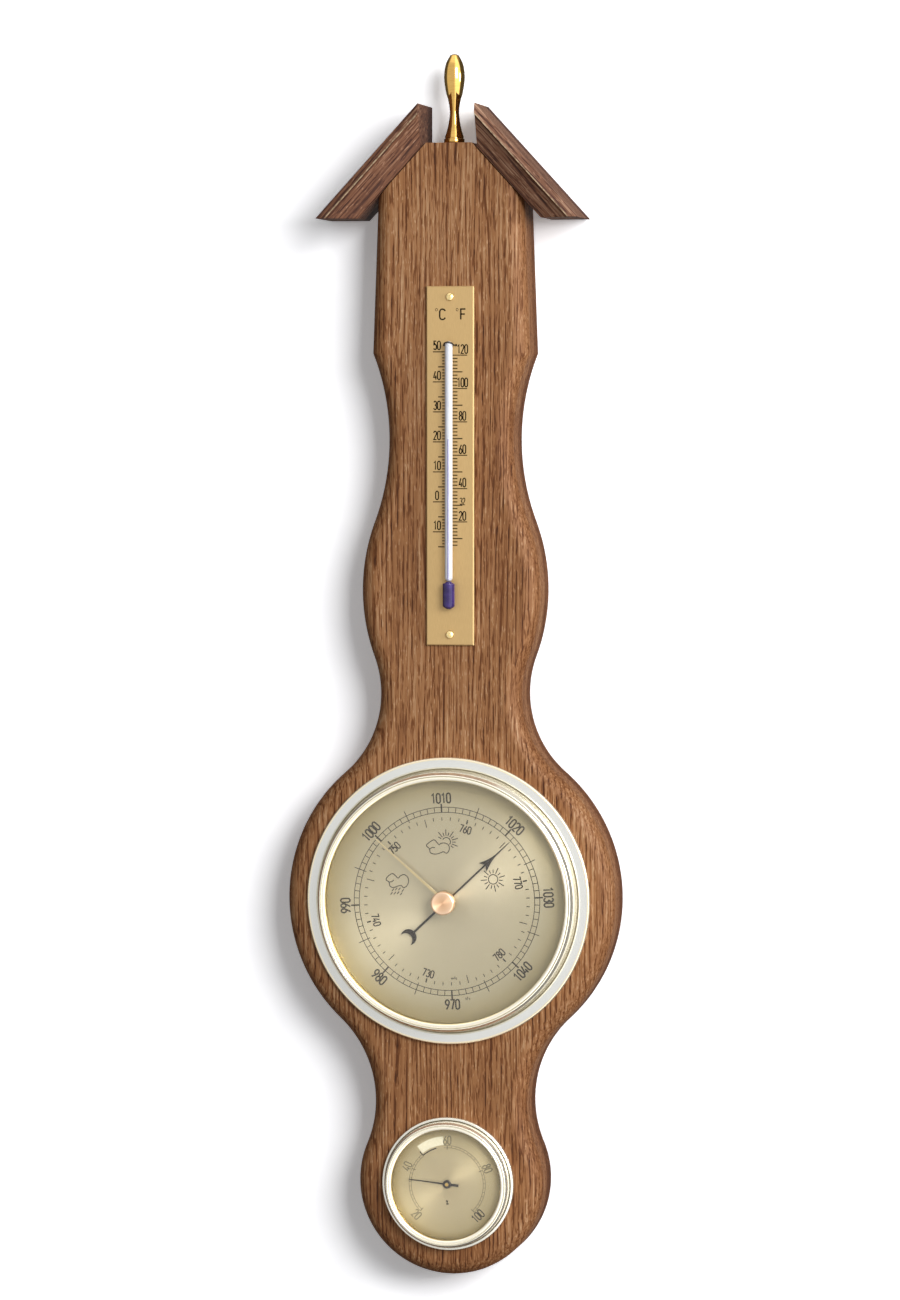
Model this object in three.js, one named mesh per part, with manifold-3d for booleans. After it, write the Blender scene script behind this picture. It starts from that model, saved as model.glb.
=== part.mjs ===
// A wall weather station: a routed oak board under two roof strips, with a brass finial, a
// spirit thermometer, an aneroid barometer with its movement, and a coil hygrometer.
//
// Millimetres. X is to the right, Z is up and Y points into the wall. The wall is the plane
// Y = 0, every piece faces -Y, and Z = 0 is about halfway up the object.

import * as THREE from 'three';
import { mergeVertices } from 'three/addons/utils/BufferGeometryUtils.js';
import Module from 'manifold-3d';

const wasm = await Module();
wasm.setup();

// Clearances
const SEAT = 0.3; // between two pieces that rest on each other
const RUN = 0.1; // round a shaft in its bearing
const LOOSE = 0.3; // round a screw in a hole that it passes through
const BORE_SLIP = 0.6; // round an instrument case in its bore

// Board: the side is a chain of tangent arcs from the bottom bulge up to the house
const BOARD_THICK = 22;
const BOARD_EDGE_ROUND = 6;
const HYGRO_Z = -186.5;
const LOWER_WAIST_ROUND = 40;
const BARO_Z = -85;
const MIDDLE_WAIST_HALF = 25.7;
const MIDDLE_WAIST_ROUND = 37.5;
const THERMO_BULGE_HALF = 32.4;
const THERMO_BULGE_ROUND = 69;
const UPPER_WAIST_HALF = 22.6;
const UPPER_WAIST_ROUND = 83;
const HOUSE_HALF_LOW = 28.5;
const HOUSE_HALF_HIGH = 26.5;
const BOARD_TOP_Z = 184.9;

// Roof strips: an oak moulding whose face slopes out from the board to a small cove under a
// fillet, and the fillet leans back a little
const ROOF_PITCH = THREE.MathUtils.degToRad(47.5);
const ROOF_DEPTH = 28.2; // at the arris between cove and fillet
const ROOF_THICK = 10.5;
const ROOF_FOOT_DEPTH = 22.6;
const ROOF_SLOPE_DEPTH = 26.1;
const ROOF_FILLET = 2.7;
const ROOF_FILLET_LEAN = 0.9;
const ROOF_COVE = 1.4;
const ROOF_EDGE_ROUND = 0.8;
const ROOF_RIDGE_HALF = 10.2;
const ROOF_EAVE_HALF = 47.4;

// Finial
const FINIAL_HEIGHT = 32;
const FINIAL_COLLAR_R = 3.7;
const FINIAL_COLLAR_HEIGHT = 2;
const FINIAL_NECK_R = 1.7;
const FINIAL_BULB_R = 3.75;
const FINIAL_TIP_R = 1.3;
const FINIAL_STUD_R = 1.4;
const FINIAL_STUD_LENGTH = 9;

// Thermometer
const THERMO_X = 0.8;
const THERMO_Z = 70.2;
const THERMO_PLATE_WIDTH = 17.2;
const THERMO_PLATE_HEIGHT = 127.7;
const THERMO_PLATE_THICK = 1.2;
const THERMO_PLATE_BEVEL = 0.35;
const THERMO_SCREW_INSET = 3.8;
const TUBE_R = 1.5;
const TUBE_TOP_INSET = 19.6;
const TUBE_LENGTH = 85.3;
const BULB_R = 2.2;
const BULB_LENGTH = 9.6;
const CLIP_WIRE_R = 0.35;
const CLIP_BELOW_TUBE_TOP = 1.4;
const CLIP_LEG_DEPTH = 3;

// Barometer insert
const BARO_OPENING_R = 43.4;
const BARO_GROOVE = 1.1;
const BARO_FLANGE_WIDTH = 3.9;
const BARO_BORDER = 8.2; // wood that shows round the bezel
const BARO_RIM_LIP = 1.9;
const BARO_DIAL_THICK = 0.5;
const BARO_SPACER = 2.4;
const BARO_GLASS_THICK = 1.8;
const BEZEL_WALL = 0.8;
const BEZEL_FLANGE_RISE = 2.4;
const CASE_WALL = 1;
const CASE_RIM = 1.9;

// Barometer hands: a dial whose 1010 mark is at the top, turned a little when it was mounted
const DIAL_TURN = THREE.MathUtils.degToRad(-3.3);
const POINTER_ANGLE = THREE.MathUtils.degToRad(46.6);
const POINTER_REACH = 31.4;
const POINTER_TAIL = 18.9;
const POINTER_THICK = 0.3;
const SET_HAND_ANGLE = THREE.MathUtils.degToRad(-48.8);
const SET_HAND_REACH = 33.6;
const KNOB_R = 4.2;
const KNOB_HEIGHT = 3.4;
const KNOB_SHAFT_R = 0.8;

// Barometer movement
const BASE_PLATE_MARGIN = 4.4;
const BASE_PLATE_THICK = 1.5;
const CAPSULE_R = 16;
const CAPSULE_HEIGHT = 4.8;
const CAPSULE_Z = -14;
const SPRING_THICK = 0.8;
const SPRING_WIDTH = 10;
const ROCKER_R = 0.8;
const LIFT_ARM = 2;
const PLATE_THICK = 1.2;
const GEAR_MODULE = 0.5;
const PINION_TEETH = 12;
const SECTOR_FULL_TEETH = 96;
const SECTOR_TEETH_BEFORE = 9;
const SECTOR_TEETH_AFTER = 4;
const SECTOR_THICK = 1.2;
const SECTOR_TAIL = 2.45;
const PINION_LENGTH = 2.4;
const ARBOR_R = 0.7;
const PIVOT_R = 0.5;
const PILLAR_R = 2;
const HAIRSPRING_WIDTH = 1;
const POST_HEAD = 0.6;
const POST_PLAY = 0.4; // between the post's head and the spring that it hooks
const CAPSULE_TRAVEL = 0.7; // room for the capsule to swell under the spring
const DIAL_CLEAR = 0.5;
const BRIDGE_CLEAR = 1.7;
const SECTOR_CLEAR = 2;
const ROCKER_CLEAR = 1;

// Hygrometer insert
const HYGRO_OPENING_R = 19.8;
const HYGRO_GROOVE = 0.4;
const HYGRO_FLANGE_WIDTH = 1;
const HYGRO_BORDER = 9.6;
const HYGRO_RIM_LIP = 1.6;
const HYGRO_CASE_DEPTH = 13.5;
const HYGRO_DIAL_THICK = 0.4;
const HYGRO_SPACER = 1.3;
const HYGRO_GLASS_THICK = 1.2;
const HYGRO_CASE_RIM = 1.3;
const HYGRO_POINTER_ANGLE = THREE.MathUtils.degToRad(-84);
const HYGRO_POINTER_REACH = 14;
const HYGRO_POINTER_TAIL = 4.2;
const HYGRO_COIL_INNER = 2.4;
const HYGRO_COIL_OUTER = 9;
const HYGRO_COIL_TURNS = 4;

// Keyhole hanger, let into the back
const HANGER_Z = 150;
const HANGER_WIDTH = 16;
const HANGER_HEIGHT = 42;
const HANGER_THICK = 1;
const HANGER_RECESS = 0.4;
const HANGER_SCREW_INSET = 4.5;
const KEYHOLE_R = 4.5;
const KEYHOLE_SLOT = 4.6;
const KEYHOLE_RISE = 9;
const POCKET_WIDTH = 11;
const POCKET_DEPTH = 8;

// Sides of the round solids
const LARGE_SIDES = 48;
const MEDIUM_SIDES = 32;
const SMALL_SIDES = 16;
const TINY_SIDES = 10;

// Finishes
const OAK = { color: '#8a5f3d', roughness: 0.62, metalness: 0 };
const BRASS = { color: '#c9a255', roughness: 0.28, metalness: 1 };
const BRASS_SATIN = { color: '#c8ab68', roughness: 0.42, metalness: 1 };
const BEZEL_METAL = { color: '#e2d8bf', roughness: 0.24, metalness: 1 };
const DIAL_METAL = { color: '#cbbd92', roughness: 0.4, metalness: 0.7 };
const COPPER = { color: '#e0a878', roughness: 0.3, metalness: 1 };
const STEEL = { color: '#a9acae', roughness: 0.38, metalness: 1 };
const BLACK = { color: '#1d1b1a', roughness: 0.5, metalness: 0.2 };
const GLASS = { color: '#eef4f4', roughness: 0.05, metalness: 0 };
const TUBE_GLASS = { color: '#f4f5f7', roughness: 0.2, metalness: 0 };
const SPIRIT = { color: '#3d2f86', roughness: 0.15, metalness: 0 };

// Solid tools

// One closed shell: shared corners, no empty triangles, faces out.
function weld(geometry) {
  const bare = geometry.clone();
  bare.deleteAttribute('normal');
  bare.deleteAttribute('uv');
  const shared = mergeVertices(bare, 1e-4);
  const corner = shared.attributes.position;
  const faces = shared.index.array;
  const kept = [];
  let volume = 0;
  const [a, b, c] = [new THREE.Vector3(), new THREE.Vector3(), new THREE.Vector3()];
  for (let i = 0; i < faces.length; i += 3) {
    const [p, q, r] = [faces[i], faces[i + 1], faces[i + 2]];
    if (p === q || q === r || r === p) continue;
    a.fromBufferAttribute(corner, p);
    b.fromBufferAttribute(corner, q);
    c.fromBufferAttribute(corner, r);
    volume += a.dot(b.cross(c));
    kept.push(p, q, r);
  }
  if (volume < 0) kept.reverse();
  shared.setIndex(kept);
  return shared;
}

function toSolid(geometry) {
  const shell = weld(geometry);
  return new wasm.Manifold(
    new wasm.Mesh({
      numProp: 3,
      vertProperties: new Float32Array(shell.attributes.position.array),
      triVerts: new Uint32Array(shell.index.array),
    })
  );
}

function toGeometry(solid) {
  const { vertProperties, triVerts } = solid.getMesh();
  const geometry = new THREE.BufferGeometry();
  geometry.setAttribute('position', new THREE.BufferAttribute(vertProperties, 3));
  geometry.setIndex(new THREE.BufferAttribute(triVerts, 1));
  return geometry;
}

function cut(body, ...tools) {
  return toGeometry(tools.reduce((left, tool) => left.subtract(toSolid(tool)), toSolid(body)));
}

function join(...bodies) {
  return toGeometry(bodies.map(toSolid).reduce((sum, body) => sum.add(body)));
}

function common(body, tool) {
  return toGeometry(toSolid(body).intersect(toSolid(tool)));
}

// A solid turned about the Y axis from [radius, y] corners; a ring's outline closes on itself.
function turned(outline, sides) {
  const points = outline.map(([radius, y]) => new THREE.Vector2(radius, y));
  const onAxis = outline[0][0] === 0 && outline.at(-1)[0] === 0;
  if (!onAxis) points.push(points[0].clone());
  return new THREE.LatheGeometry(points, sides);
}

// A round bar along Y from y0 to y1, about (x, z).
function bar(radius, y0, y1, x = 0, z = 0, sides = SMALL_SIDES) {
  const length = Math.abs(y1 - y0);
  return new THREE.CylinderGeometry(radius, radius, length, sides).translate(x, (y0 + y1) / 2, z);
}

// A round bar along Z from z0 to z1, about (x, y).
function post(radius, z0, z1, x = 0, y = 0, sides = SMALL_SIDES) {
  const length = z1 - z0;
  const upright = new THREE.CylinderGeometry(radius, radius, length, sides).rotateX(Math.PI / 2);
  return upright.translate(x, y, (z0 + z1) / 2);
}

function box(x0, x1, y0, y1, z0, z1) {
  const block = new THREE.BoxGeometry(x1 - x0, Math.abs(y1 - y0), z1 - z0);
  return block.translate((x0 + x1) / 2, (y0 + y1) / 2, (z0 + z1) / 2);
}

// A flat piece: an outline in X and Z, from y = back to y = front, front being nearer the viewer.
function flat(shape, front, back, curveSegments = 8) {
  const options = { depth: back - front, bevelEnabled: false, curveSegments };
  return new THREE.ExtrudeGeometry(shape, options).rotateX(Math.PI / 2).translate(0, back, 0);
}

function polygon(corners) {
  return new THREE.Shape(corners.map(([x, z]) => new THREE.Vector2(x, z)));
}

// An outline of two equal round ends a distance apart, about the origin, along Z.
function slotShape(width, length) {
  const half = width / 2;
  const reach = length / 2 - half;
  const shape = new THREE.Shape();
  shape.absarc(0, reach, half, 0, Math.PI, false);
  shape.absarc(0, -reach, half, Math.PI, 2 * Math.PI, false);
  shape.closePath();
  return shape;
}

// A bent sheet: a centre line in X and Y, given a thickness, and a width along Z.
function bentSheet(line, thickness, z0, z1) {
  const side = (offset) =>
    line.map(([x, y], i) => {
      const [px, py] = line[Math.max(i - 1, 0)];
      const [nx, ny] = line[Math.min(i + 1, line.length - 1)];
      const before = new THREE.Vector2(x - px, y - py).normalize();
      const after = new THREE.Vector2(nx - x, ny - y).normalize();
      if (i === 0) before.copy(after);
      if (i === line.length - 1) after.copy(before);
      const mitre = new THREE.Vector2(-before.y - after.y, before.x + after.x).normalize();
      const stretch = offset / mitre.dot(new THREE.Vector2(-before.y, before.x));
      return [x + mitre.x * stretch, y + mitre.y * stretch];
    });
  const outline = [...side(thickness / 2), ...side(-thickness / 2).reverse()];
  const options = { depth: z1 - z0, bevelEnabled: false };
  return new THREE.ExtrudeGeometry(polygon(outline), options).translate(0, 0, z0);
}

// A flat spiral strip about the Y axis.
function spiral(inner, outer, turns, thickness, y0, y1, endAngle) {
  const steps = Math.round(turns * 12);
  const side = (offset) =>
    Array.from({ length: steps + 1 }, (_, i) => {
      const share = i / steps;
      const angle = endAngle - (1 - share) * turns * 2 * Math.PI;
      const radius = inner + (outer - inner) * share + offset;
      return [radius * Math.sin(angle), radius * Math.cos(angle)];
    });
  return flat(polygon([...side(thickness / 2), ...side(-thickness / 2).reverse()]), y0, y1);
}

// A slotted round-head screw: the head's seat is at y = 0, the head is in front of it.
function slottedScrew(headR, headHeight, shankR, length) {
  const dome = Array.from({ length: 3 }, (_, i) => {
    const angle = (i / 2) * (Math.PI / 2);
    return [headR * Math.sin(angle), -headHeight * (0.3 + 0.7 * Math.cos(angle))];
  });
  dome[0][0] = 0;
  const shank = [[headR, 0], [shankR, 0], [shankR, length - shankR], [0, length]];
  const blank = turned([...dome, ...shank], 12);
  const slotHalf = headR * 0.14;
  const slotDepth = headHeight * 0.5;
  const slot = box(-slotHalf, slotHalf, -headHeight - 1, slotDepth - headHeight, -headR, headR);
  return cut(blank, slot);
}

function piece(name, geometry, finish) {
  const mesh = new THREE.Mesh(weld(geometry), new THREE.MeshStandardMaterial(finish));
  mesh.name = name;
  return mesh;
}

function placed(mesh, x, y, z) {
  mesh.position.set(x, y, z);
  return mesh;
}

// Insert radii

// The glass, dial and spacer lie under the bezel's lip, and the case's rim behind them.
const baroGlassR = BARO_OPENING_R + BARO_RIM_LIP;
const baroCaseR = baroGlassR - CASE_RIM;
const baroFlangeR = baroGlassR + SEAT + BEZEL_WALL + BARO_GROOVE + BARO_FLANGE_WIDTH;
const baroBulge = baroFlangeR + BARO_BORDER;
const hygroGlassR = HYGRO_OPENING_R + HYGRO_RIM_LIP;
const hygroCaseR = hygroGlassR - HYGRO_CASE_RIM;
const hygroFlangeR = hygroGlassR + SEAT + BEZEL_WALL + HYGRO_GROOVE + HYGRO_FLANGE_WIDTH;
const hygroBulge = hygroFlangeR + HYGRO_BORDER;

// Board outline

// The arcs of the right side, from the bottom up. Each bulge touches the waist beside it.
function sideArcs() {
  const hygro = { x: 0, z: HYGRO_Z, r: hygroBulge };
  const baro = { x: 0, z: BARO_Z, r: baroBulge };
  const lower = waistBetween(hygro, baro, LOWER_WAIST_ROUND);
  const middle = { x: MIDDLE_WAIST_HALF + MIDDLE_WAIST_ROUND, r: MIDDLE_WAIST_ROUND };
  middle.z = baro.z + rise(baro, middle);
  const thermo = { x: THERMO_BULGE_HALF - THERMO_BULGE_ROUND, r: THERMO_BULGE_ROUND };
  thermo.z = middle.z + rise(middle, thermo);
  const upper = { x: UPPER_WAIST_HALF + UPPER_WAIST_ROUND, r: UPPER_WAIST_ROUND };
  upper.z = thermo.z + rise(thermo, upper);
  const arcs = [hygro, lower, baro, middle, thermo, upper];
  arcs.forEach((arc, i) => {
    arc.hollow = i % 2 === 1;
    arc.start = i === 0 ? -Math.PI / 2 : bearing(arc, arcs[i - 1]);
    arc.end = i === arcs.length - 1 ? notchAngle(arc) : bearing(arc, arcs[i + 1]);
  });
  return arcs;
}

// How much higher the second circle's centre is when two circles touch side by side.
function rise(one, other) {
  return Math.sqrt((one.r + other.r) ** 2 - (one.x - other.x) ** 2);
}

// The circle of radius r on the right that touches two circles centred on X = 0.
function waistBetween(low, high, r) {
  const apart = high.z - low.z;
  const down = ((high.r + r) ** 2 - (low.r + r) ** 2 + apart ** 2) / (2 * apart);
  return { x: Math.sqrt((high.r + r) ** 2 - down ** 2), z: high.z - down, r };
}

function bearing(from, to) {
  return Math.atan2(to.z - from.z, to.x - from.x);
}

// Where the upper waist meets the house side.
function notchAngle(arc) {
  return Math.acos((HOUSE_HALF_LOW - arc.x) / arc.r);
}

// Corners along an arc, a small turn apart; a hollow arc runs clockwise.
function arcCorners({ x, z, r, start, end, hollow }) {
  const full = 2 * Math.PI;
  const turn = hollow ? -((start - end + full) % full) : (end - start + full) % full;
  const steps = Math.ceil(Math.abs(turn) / THREE.MathUtils.degToRad(8));
  return Array.from({ length: steps }, (_, i) => {
    const angle = start + (turn * (i + 1)) / steps;
    return [x + r * Math.cos(angle), z + r * Math.sin(angle)];
  });
}

function boardOutline() {
  const above = BOARD_TOP_Z + BOARD_EDGE_ROUND * 2;
  const right = [...sideArcs().flatMap(arcCorners), [houseHalf(above), above]];
  const left = right.map(([x, z]) => [-x, z]).reverse();
  return polygon([[0, HYGRO_Z - hygroBulge], ...right, ...left]);
}

// The house sides lean in a little towards the roof.
function houseHalf(z) {
  const upper = sideArcs().at(-1);
  const foot = upper.z + upper.r * Math.sin(upper.end);
  const share = (z - foot) / (roofUnderside(HOUSE_HALF_HIGH) - foot);
  return HOUSE_HALF_LOW + (HOUSE_HALF_HIGH - HOUSE_HALF_LOW) * share;
}

// Height of the roof strips' underside at a distance from the centre line. It passes through
// the corner of the board's flat top.
function roofUnderside(x) {
  const topHalf = ROOF_RIDGE_HALF - 2;
  return BOARD_TOP_Z + SEAT / Math.cos(ROOF_PITCH) - (x - topHalf) * Math.tan(ROOF_PITCH);
}

// The board below the roof line, cut flat at the back.
function boardLimits() {
  const wide = baroBulge * 2;
  const bottom = HYGRO_Z - hygroBulge * 2;
  const gap = SEAT / Math.cos(ROOF_PITCH);
  const topHalf = ROOF_RIDGE_HALF - 2;
  const shoulder = roofUnderside(wide) - gap;
  const corners = [[wide, bottom], [wide, shoulder], [topHalf, BOARD_TOP_Z]];
  const mirrored = corners.map(([x, z]) => [-x, z]).reverse();
  return flat(polygon([...corners, ...mirrored]), -BOARD_THICK - 1, 0);
}

function board() {
  const depth = BOARD_THICK;
  const blank = new THREE.ExtrudeGeometry(boardOutline(), {
    depth,
    bevelThickness: BOARD_EDGE_ROUND,
    bevelSize: BOARD_EDGE_ROUND,
    bevelOffset: -BOARD_EDGE_ROUND,
    bevelSegments: 4,
  });
  blank.rotateX(Math.PI / 2).translate(0, BOARD_EDGE_ROUND, 0);
  const body = common(blank, boardLimits());
  const through = [1, -BOARD_THICK - 1];
  const studHole = post(
    FINIAL_STUD_R + LOOSE,
    BOARD_TOP_Z - FINIAL_STUD_LENGTH - 1,
    BOARD_TOP_Z + 1,
    0,
    -BOARD_THICK / 2
  );
  return piece(
    'board',
    cut(
      body,
      bar(baroCaseR + BORE_SLIP, ...through, 0, BARO_Z, LARGE_SIDES),
      bar(hygroCaseR + BORE_SLIP, ...through, 0, HYGRO_Z, LARGE_SIDES),
      studHole,
      ...thermometerHoles(),
      ...hangerCuts()
    ),
    OAK
  );
}

// Roof strips

function roofMoulding() {
  const arris = ROOF_THICK - ROOF_FILLET;
  const shape = new THREE.Shape();
  shape.moveTo(0, 0);
  shape.lineTo(ROOF_FOOT_DEPTH - ROOF_EDGE_ROUND, 0);
  shape.quadraticCurveTo(ROOF_FOOT_DEPTH, 0, ROOF_FOOT_DEPTH, ROOF_EDGE_ROUND);
  shape.lineTo(ROOF_SLOPE_DEPTH, arris - ROOF_COVE);
  shape.quadraticCurveTo(ROOF_SLOPE_DEPTH + ROOF_COVE / 2, arris, ROOF_DEPTH, arris);
  shape.lineTo(ROOF_DEPTH - ROOF_FILLET_LEAN, ROOF_THICK);
  shape.lineTo(0, ROOF_THICK);
  return shape;
}

// The right strip: the moulding run up the slope, then cut level at the eave and plumb at the
// ridge.
function roofStrip() {
  const run = ROOF_EAVE_HALF / Math.cos(ROOF_PITCH);
  const spare = ROOF_THICK * 2;
  const outward = new THREE.Vector3(Math.sin(ROOF_PITCH), 0, Math.cos(ROOF_PITCH));
  const uphill = new THREE.Vector3(-Math.cos(ROOF_PITCH), 0, Math.sin(ROOF_PITCH));
  const forward = new THREE.Vector3(0, -1, 0);
  const options = { depth: run + 2 * spare, bevelEnabled: false, curveSegments: 3 };
  const strip = new THREE.ExtrudeGeometry(roofMoulding(), options).translate(0, 0, -spare);
  strip.applyMatrix4(new THREE.Matrix4().makeBasis(forward, outward, uphill));
  strip.translate(ROOF_EAVE_HALF, 0, roofUnderside(ROOF_EAVE_HALF));
  const eaveZ = roofUnderside(ROOF_EAVE_HALF) + ROOF_THICK / Math.cos(ROOF_PITCH);
  const reach = ROOF_EAVE_HALF + spare;
  const high = BOARD_TOP_Z + run;
  return common(strip, box(ROOF_RIDGE_HALF, reach, 1, -ROOF_DEPTH - 1, eaveZ, high));
}

// Finial

function finial() {
  const neckHeight = FINIAL_HEIGHT * 0.36;
  const bulbHeight = FINIAL_HEIGHT * 0.76;
  const waist = new THREE.SplineCurve([
    new THREE.Vector2(FINIAL_COLLAR_R * 0.94, FINIAL_COLLAR_HEIGHT + 0.3),
    new THREE.Vector2(FINIAL_NECK_R * 1.35, neckHeight * 0.55),
    new THREE.Vector2(FINIAL_NECK_R, neckHeight),
    new THREE.Vector2((FINIAL_NECK_R + FINIAL_BULB_R) / 2, (neckHeight + bulbHeight) / 2),
    new THREE.Vector2(FINIAL_BULB_R, bulbHeight),
    new THREE.Vector2(FINIAL_BULB_R * 0.72, (bulbHeight + FINIAL_HEIGHT) / 2 + 0.6),
    new THREE.Vector2(FINIAL_TIP_R, FINIAL_HEIGHT - 0.3),
  ]);
  const outline = [
    [0, -FINIAL_STUD_LENGTH],
    [FINIAL_STUD_R, 1 - FINIAL_STUD_LENGTH],
    [FINIAL_STUD_R, SEAT],
    [FINIAL_COLLAR_R, SEAT],
    [FINIAL_COLLAR_R, FINIAL_COLLAR_HEIGHT],
    ...waist.getPoints(11).map(({ x, y }) => [x, y]),
    [0, FINIAL_HEIGHT],
  ];
  const upright = turned(outline, SMALL_SIDES).rotateX(Math.PI / 2);
  return placed(piece('finial', upright, BRASS), 0, -BOARD_THICK / 2, BOARD_TOP_Z);
}

// Thermometer, in a frame whose origin is the middle of its seat on the board's face

const plateBack = -SEAT;
const plateFront = plateBack - THERMO_PLATE_THICK;
const tubeY = plateFront - SEAT - BULB_R;
const tubeTop = THERMO_PLATE_HEIGHT / 2 - TUBE_TOP_INSET;
const clipZ = tubeTop - CLIP_BELOW_TUBE_TOP;
const clipHalf = TUBE_R + SEAT + CLIP_WIRE_R;
const screwZ = THERMO_PLATE_HEIGHT / 2 - THERMO_SCREW_INSET;
const PLATE_SCREW = { headR: 1.6, headHeight: 1, shankR: 0.9, length: 9 };

function thermometerPlate() {
  const halfWidth = THERMO_PLATE_WIDTH / 2;
  const halfHeight = THERMO_PLATE_HEIGHT / 2;
  const outline = polygon([
    [-halfWidth, -halfHeight],
    [halfWidth, -halfHeight],
    [halfWidth, halfHeight],
    [-halfWidth, halfHeight],
  ]);
  const bevelled = new THREE.ExtrudeGeometry(outline, {
    depth: THERMO_PLATE_THICK,
    bevelThickness: THERMO_PLATE_BEVEL,
    bevelSize: THERMO_PLATE_BEVEL,
    bevelOffset: -THERMO_PLATE_BEVEL,
    bevelSegments: 1,
  });
  bevelled.rotateX(Math.PI / 2).translate(0, THERMO_PLATE_BEVEL + plateBack, 0);
  const seatSide = box(-halfWidth, halfWidth, plateBack, -BOARD_THICK, -halfHeight, halfHeight);
  const holes = [screwZ, -screwZ].map((z) =>
    bar(PLATE_SCREW.shankR + LOOSE, 1, -BOARD_THICK, 0, z, TINY_SIDES)
  );
  const clipHoles = clipLegs(CLIP_WIRE_R + RUN);
  return piece(
    'thermometer_plate',
    cut(common(bevelled, seatSide), ...holes, ...clipHoles),
    BRASS_SATIN
  );
}

function clipLegs(radius) {
  return [-clipHalf, clipHalf].map((x) =>
    bar(radius, CLIP_LEG_DEPTH + 1, plateFront - 1, x, clipZ, TINY_SIDES)
  );
}

function thermometerHoles() {
  const screwHoles = [screwZ, -screwZ].map((z) =>
    bar(PLATE_SCREW.shankR + LOOSE, PLATE_SCREW.length + 1, -1, 0, z, TINY_SIDES)
  );
  return [...screwHoles, ...clipLegs(CLIP_WIRE_R + RUN)].map((hole) =>
    hole.translate(THERMO_X, -BOARD_THICK, THERMO_Z)
  );
}

// A round-ended rod along Z, from z0 to z1, about the tube's centre line.
function capillary(radius, z0, z1) {
  const dome = (z, sign) =>
    [0, 1, 2, 3].map((i) => {
      const angle = (i / 3) * (Math.PI / 2);
      return [i === 0 ? 0 : radius * Math.sin(angle), z + sign * radius * Math.cos(angle)];
    });
  const low = dome(z0 + radius, -1);
  const high = dome(z1 - radius, 1).reverse();
  const rod = turned([...low, ...high], SMALL_SIDES);
  return rod.rotateX(Math.PI / 2).translate(0, tubeY, 0);
}

function clip() {
  const bend = Array.from({ length: 9 }, (_, i) => {
    const angle = (i / 8) * Math.PI;
    return new THREE.Vector3(clipHalf * Math.cos(angle), tubeY - clipHalf * Math.sin(angle), clipZ);
  });
  const inBoard = CLIP_LEG_DEPTH;
  const route = [
    new THREE.Vector3(clipHalf, inBoard, clipZ),
    ...bend,
    new THREE.Vector3(-clipHalf, inBoard, clipZ),
  ];
  const path = new THREE.CurvePath();
  for (let i = 1; i < route.length; i += 1) {
    path.add(new THREE.LineCurve3(route[i - 1], route[i]));
  }
  const section = new THREE.Shape().absarc(0, 0, CLIP_WIRE_R, 0, 2 * Math.PI, false);
  const options = { steps: route.length * 2, extrudePath: path, curveSegments: 3 };
  return piece('thermometer_clip', new THREE.ExtrudeGeometry(section, options), STEEL);
}

function thermometer() {
  const group = new THREE.Group();
  group.position.set(THERMO_X, -BOARD_THICK, THERMO_Z);
  const { headR, headHeight, shankR, length } = PLATE_SCREW;
  const screw = slottedScrew(headR, headHeight, shankR, length).rotateY(Math.PI / 5);
  const tubeFoot = tubeTop - TUBE_LENGTH;
  group.add(
    thermometerPlate(),
    piece('thermometer_tube', capillary(TUBE_R, tubeFoot, tubeTop), TUBE_GLASS),
    piece('thermometer_bulb', capillary(BULB_R, tubeFoot - SEAT - BULB_LENGTH, tubeFoot - SEAT), SPIRIT),
    clip(),
    placed(piece('plate_screw_top', screw, BRASS), 0, plateFront - SEAT, screwZ),
    placed(piece('plate_screw_bottom', screw, BRASS), 0, plateFront - SEAT, -screwZ)
  );
  return group;
}

// Instrument inserts. Each has a frame whose origin is on the board's face, on the axis, so
// that y < 0 is in front of the board and y > 0 is inside the bore.

// Where the pieces in front of the case's rim lie, one on the other.
function frontStack(rim, dial, spacer, glass) {
  const rimFront = -SEAT - rim;
  const dialBack = rimFront - SEAT;
  const dialFront = dialBack - dial;
  const spacerFront = dialFront - SEAT - spacer;
  const glassBack = spacerFront - SEAT;
  const glassFront = glassBack - glass;
  return { rimFront, dialBack, dialFront, spacerFront, glassBack, glassFront };
}

const baroStack = frontStack(CASE_RIM, BARO_DIAL_THICK, BARO_SPACER, BARO_GLASS_THICK);
const hygroStack = frontStack(
  HYGRO_CASE_RIM,
  HYGRO_DIAL_THICK,
  HYGRO_SPACER,
  HYGRO_GLASS_THICK
);

// A spun bezel: a rolled flange on the board, a groove, and a raised rim over the glass.
function bezel(flangeR, flangeWidth, opening, paneR, glassFront, sides) {
  const inner = paneR + SEAT;
  const outer = inner + BEZEL_WALL;
  const step = flangeR - flangeWidth;
  const lipBack = glassFront - SEAT;
  const crown = lipBack - BEZEL_WALL;
  const rise = -BEZEL_FLANGE_RISE;
  return turned(
    [
      [inner, -SEAT],
      [flangeR, -SEAT],
      [flangeR, rise * 0.7],
      [flangeR - 0.5, rise * 0.9],
      [step + 0.3, rise],
      [(step + outer) / 2, rise * 0.7],
      [outer, rise],
      [outer - 0.1, crown * 0.86],
      [outer - 0.8, crown],
      [(opening + outer) / 2, crown + 0.1],
      [opening, lipBack - 0.2],
      [opening, lipBack],
      [inner, lipBack],
    ],
    sides
  );
}

// A spun cup open to the front, with a rolled rim that rests on the board.
function caseCup(radius, rimR, rimFront, depth, sides) {
  return turned(
    [
      [0, depth],
      [radius - 1, depth],
      [radius, depth - 1],
      [radius, -SEAT],
      [rimR, -SEAT],
      [rimR, rimFront],
      [radius - CASE_WALL, rimFront],
      [radius - CASE_WALL, depth - CASE_WALL],
      [0, depth - CASE_WALL],
    ],
    sides
  );
}

function disc(radius, hole, front, back, sides) {
  return turned([[hole, back], [radius, back], [radius, front], [hole, front]], sides);
}

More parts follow.
